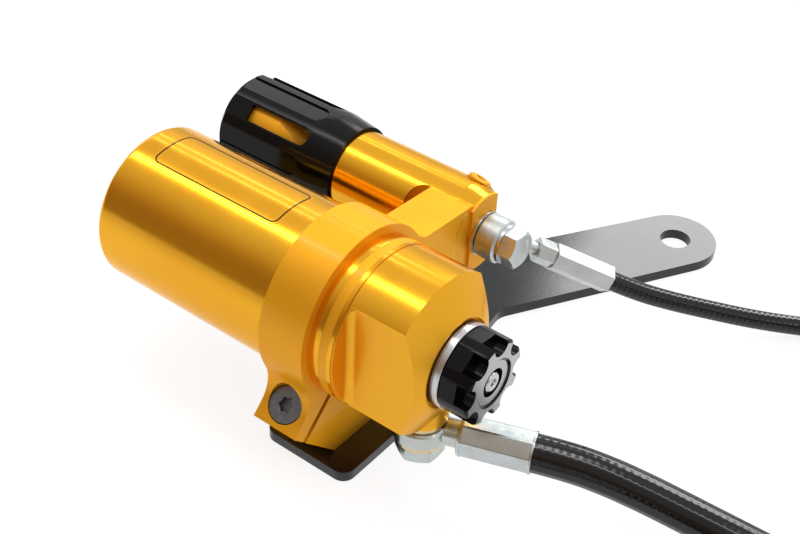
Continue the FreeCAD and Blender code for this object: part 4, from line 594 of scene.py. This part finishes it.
# Frame on the tube: two thin raised lines round a bare rectangle
LABEL_LEFT = -71.85 * MM
LABEL_RIGHT = -20.15 * MM
LABEL_LOW = math.radians(71.5) * TUBE_RADIUS
LABEL_HIGH = math.radians(109.5) * TUBE_RADIUS
LABEL_CORNER = 2.2 * MM
LABEL_SINK = 0.02 * MM
CORNER_STEPS = 8


def frame_line(name, grow, width, height, slot):
    """A closed line round a rounded rectangle that lies on the tube. s is the length round the tube."""
    left, right = LABEL_LEFT - grow, LABEL_RIGHT + grow
    low, high = LABEL_LOW - grow, LABEL_HIGH + grow
    corner = LABEL_CORNER + grow
    arcs = [
        (right - corner, high - corner, 0),
        (left + corner, high - corner, 90),
        (left + corner, low + corner, 180),
        (right - corner, low + corner, 270),
    ]
    path = []
    for x, s, turn in arcs:
        for i in range(CORNER_STEPS + 1):
            angle = math.radians(turn + 90 * i / CORNER_STEPS)
            out_x, out_s = math.cos(angle), math.sin(angle)
            path.append((x + out_x * corner, s + out_s * corner, out_x, out_s))
    path = with_long_runs_divided(path)
    section = ((-1, -LABEL_SINK), (-1, height), (1, height), (1, -LABEL_SINK))
    vertices = []
    for x, s, out_x, out_s in path:
        for side, rise in section:
            place_x = x + out_x * side * width / 2
            angle = (s + out_s * side * width / 2) / TUBE_RADIUS
            reach = TUBE_RADIUS + rise
            vertices.append((place_x, reach * math.cos(angle), AXIS_Z + reach * math.sin(angle)))
    sides = len(section)
    faces = []
    for i in range(len(path)):
        j = (i + 1) % len(path)
        for k in range(sides):
            k2 = (k + 1) % sides
            faces.append((i * sides + k, i * sides + k2, j * sides + k2, j * sides + k))
    mesh = bpy.data.meshes.new(name)
    mesh.from_pydata(vertices, [], faces)
    mesh.materials.append(finishes[slot])
    piece = bpy.data.objects.new(name, mesh)
    scene.collection.objects.link(piece)
    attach(piece, "root")


def with_long_runs_divided(path):
    """The closed path with a step in every millimetre, so that its runs follow the tube."""
    full = []
    for i, here in enumerate(path):
        after = path[(i + 1) % len(path)]
        full.append(here)
        count = int(math.hypot(after[0] - here[0], after[1] - here[1]) / MM)
        for k in range(1, count):
            share = k / count
            x = here[0] + (after[0] - here[0]) * share
            s = here[1] + (after[1] - here[1]) * share
            full.append((x, s, here[2], here[3]))
    return full


# Hoses: each route's points are those of its solid, on one smooth line
RING_STEP_DEGREES = 18


def ring_points(start, heading, radius, turn, end_height, straight):
    """Points clockwise round part of a ring on the floor, by turn degrees, and one straight run after it."""
    level = Vector((heading.x, heading.y, 0)).normalized()
    first = start + heading * straight
    out = Vector((-level.y, level.x, 0)) * radius
    centre = first - out
    count = math.ceil(turn / RING_STEP_DEGREES)
    points = [first]
    for i in range(1, count + 1):
        angle = math.radians(-turn * i / count)
        arm = Matrix.Rotation(angle, 3, "Z") @ out
        height = first.z + (end_height - first.z) * i / count
        points.append(Vector((centre.x + arm.x, centre.y + arm.y, height)))
    last = Matrix.Rotation(math.radians(-turn), 3, "Z") @ level
    points.append(points[-1] + last * straight)
    return points


def smooth_line(points):
    """The points along a smooth spline that has the given points as its control points."""
    curve = bpy.data.curves.new("line", "CURVE")
    curve.dimensions = "3D"
    spline = curve.splines.new("NURBS")
    spline.points.add(len(points) - 1)
    for point, place in zip(spline.points, points):
        point.co = (*place, 1)
    spline.order_u = 3
    spline.use_endpoint_u = True
    spline.resolution_u = 10
    carrier = bpy.data.objects.new("line", curve)
    scene.collection.objects.link(carrier)
    graph = bpy.context.evaluated_depsgraph_get()
    mesh = bpy.data.meshes.new_from_object(carrier.evaluated_get(graph))
    line = [vertex.co.copy() for vertex in mesh.vertices]
    bpy.data.meshes.remove(mesh)
    bpy.data.objects.remove(carrier)
    bpy.data.curves.remove(curve)
    return line


def rings_along(line, radius, sides):
    """A ring of points round each place of the line, and the length travelled to it."""
    rings = []
    lengths = []
    travelled = 0.0
    side = Vector((0, 0, 1))
    for i, place in enumerate(line):
        ahead = line[min(i + 1, len(line) - 1)] - line[max(i - 1, 0)]
        ahead.normalize()
        side = (side - ahead * side.dot(ahead)).normalized()
        other = ahead.cross(side)
        if i:
            travelled += (place - line[i - 1]).length
        lengths.append(travelled)
        for k in range(sides):
            angle = 2 * math.pi * k / sides
            rings.append(tuple(place + (side * math.cos(angle) + other * math.sin(angle)) * radius))
    return rings, lengths


def tube(name, line, radius, sides, pitch, slot):
    """A round tube along a line, with coordinates that count braid steps along and round it."""
    vertices, lengths = rings_along(line, radius, sides)
    steps_round = round(2 * math.pi * radius / pitch)
    faces = []
    braid_places = []
    for i in range(len(line) - 1):
        for k in range(sides):
            k2 = (k + 1) % sides
            faces.append((i * sides + k, (i + 1) * sides + k, (i + 1) * sides + k2, i * sides + k2))
            for j, turn in ((i, k), (i + 1, k), (i + 1, k + 1), (i, k + 1)):
                braid_places.append((lengths[j] / pitch / 2, turn / sides * steps_round / 2))
    mesh = bpy.data.meshes.new(name)
    mesh.from_pydata(vertices, [], faces)
    uv = mesh.uv_layers.new(name="braid")
    for loop, place in zip(uv.data, braid_places):
        loop.uv = place
    mesh.polygons.foreach_set("use_smooth", [True] * len(mesh.polygons))
    mesh.materials.append(finishes[slot])
    piece = bpy.data.objects.new(name, mesh)
    scene.collection.objects.link(piece)
    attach(piece, "root")
    return piece


MAIN_DIAMETER = 12.5 * MM
MAIN_EXIT = Vector((66.577, 12.698, 20.55)) * MM
MAIN_HEADING = Vector((math.cos(math.radians(20.3)), math.sin(math.radians(20.3)), 0))
MAIN_ROUTE = [
    (89.4, 20.5, 19.1),
    (100.1, 24.3, 16.2),
    (110.8, 27.9, 12.9),
    (124.3, 31.6, 9.5),
    (138.2, 33.5, 8.1),
    (149.4, 34.0, 7.7),
]
PRELOAD_DIAMETER = 7 * MM
PRELOAD_EXIT = Vector((41.986, 94.887, 26.33)) * MM
PRELOAD_HEADING = Vector((0.6587, 0.5952, -0.4602)).normalized()
PRELOAD_ROUTE = [
    (60.4, 110.9, 16.2),
    (70.0, 119.5, 12.4),
    (81.4, 129.3, 8.4),
    (91.6, 138.2, 5.5),
    (102.3, 146.3, 4.0),
    (114.6, 154.0, 3.5),
    (127.6, 160.6, 3.6),
    (141.6, 165.6, 3.8),
]


def hose_points(exit_point, heading, first_run, route, diameter, ring_radius, turn, end_height):
    """The seen route, and after it the ring on the floor and its straight end, one diameter long."""
    seen = [exit_point, exit_point + heading * first_run]
    seen += [Vector(point) * MM for point in route]
    way = (seen[-1] - seen[-2]).normalized()
    return seen + ring_points(seen[-1], way, ring_radius, turn, end_height, diameter)


def add_hoses():
    points = hose_points(MAIN_EXIT, MAIN_HEADING, 11.5 * MM, MAIN_ROUTE, MAIN_DIAMETER,
                         ring_radius=66 * MM, turn=235, end_height=7 * MM)
    line = smooth_line(points)
    piece = tube("main_hose_cover", line, MAIN_DIAMETER / 2, 48, 2.45 * MM, "hose_cover")
    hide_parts("main_hose", "main_hose_coil")
    points = hose_points(PRELOAD_EXIT, PRELOAD_HEADING, 12 * MM, PRELOAD_ROUTE, PRELOAD_DIAMETER,
                         ring_radius=40 * MM, turn=165, end_height=5.1 * MM)
    line = smooth_line(points)
    piece = tube("preload_hose_cover", line, PRELOAD_DIAMETER / 2, 32, 2.2 * MM, "hose_cover")
    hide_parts("preload_hose", "preload_hose_coil")


add_camera()
add_world()
add_floor()
add_strip("strip_core", 0.55, 0.022, 1.05)
add_strip("strip_halo", 0.56, 0.13, 1.3)
dress_nodes()
smoothing = smoothing_group()
for name, width in SOFT_EDGES.items():
    soften(name, width, smoothing)
frame_line("label_line", 0, 0.45 * MM, 0.05 * MM, "black_anodised")
frame_line("label_rim", 1.0 * MM, 0.16 * MM, 0.04 * MM, "gold_billet")
add_hoses()
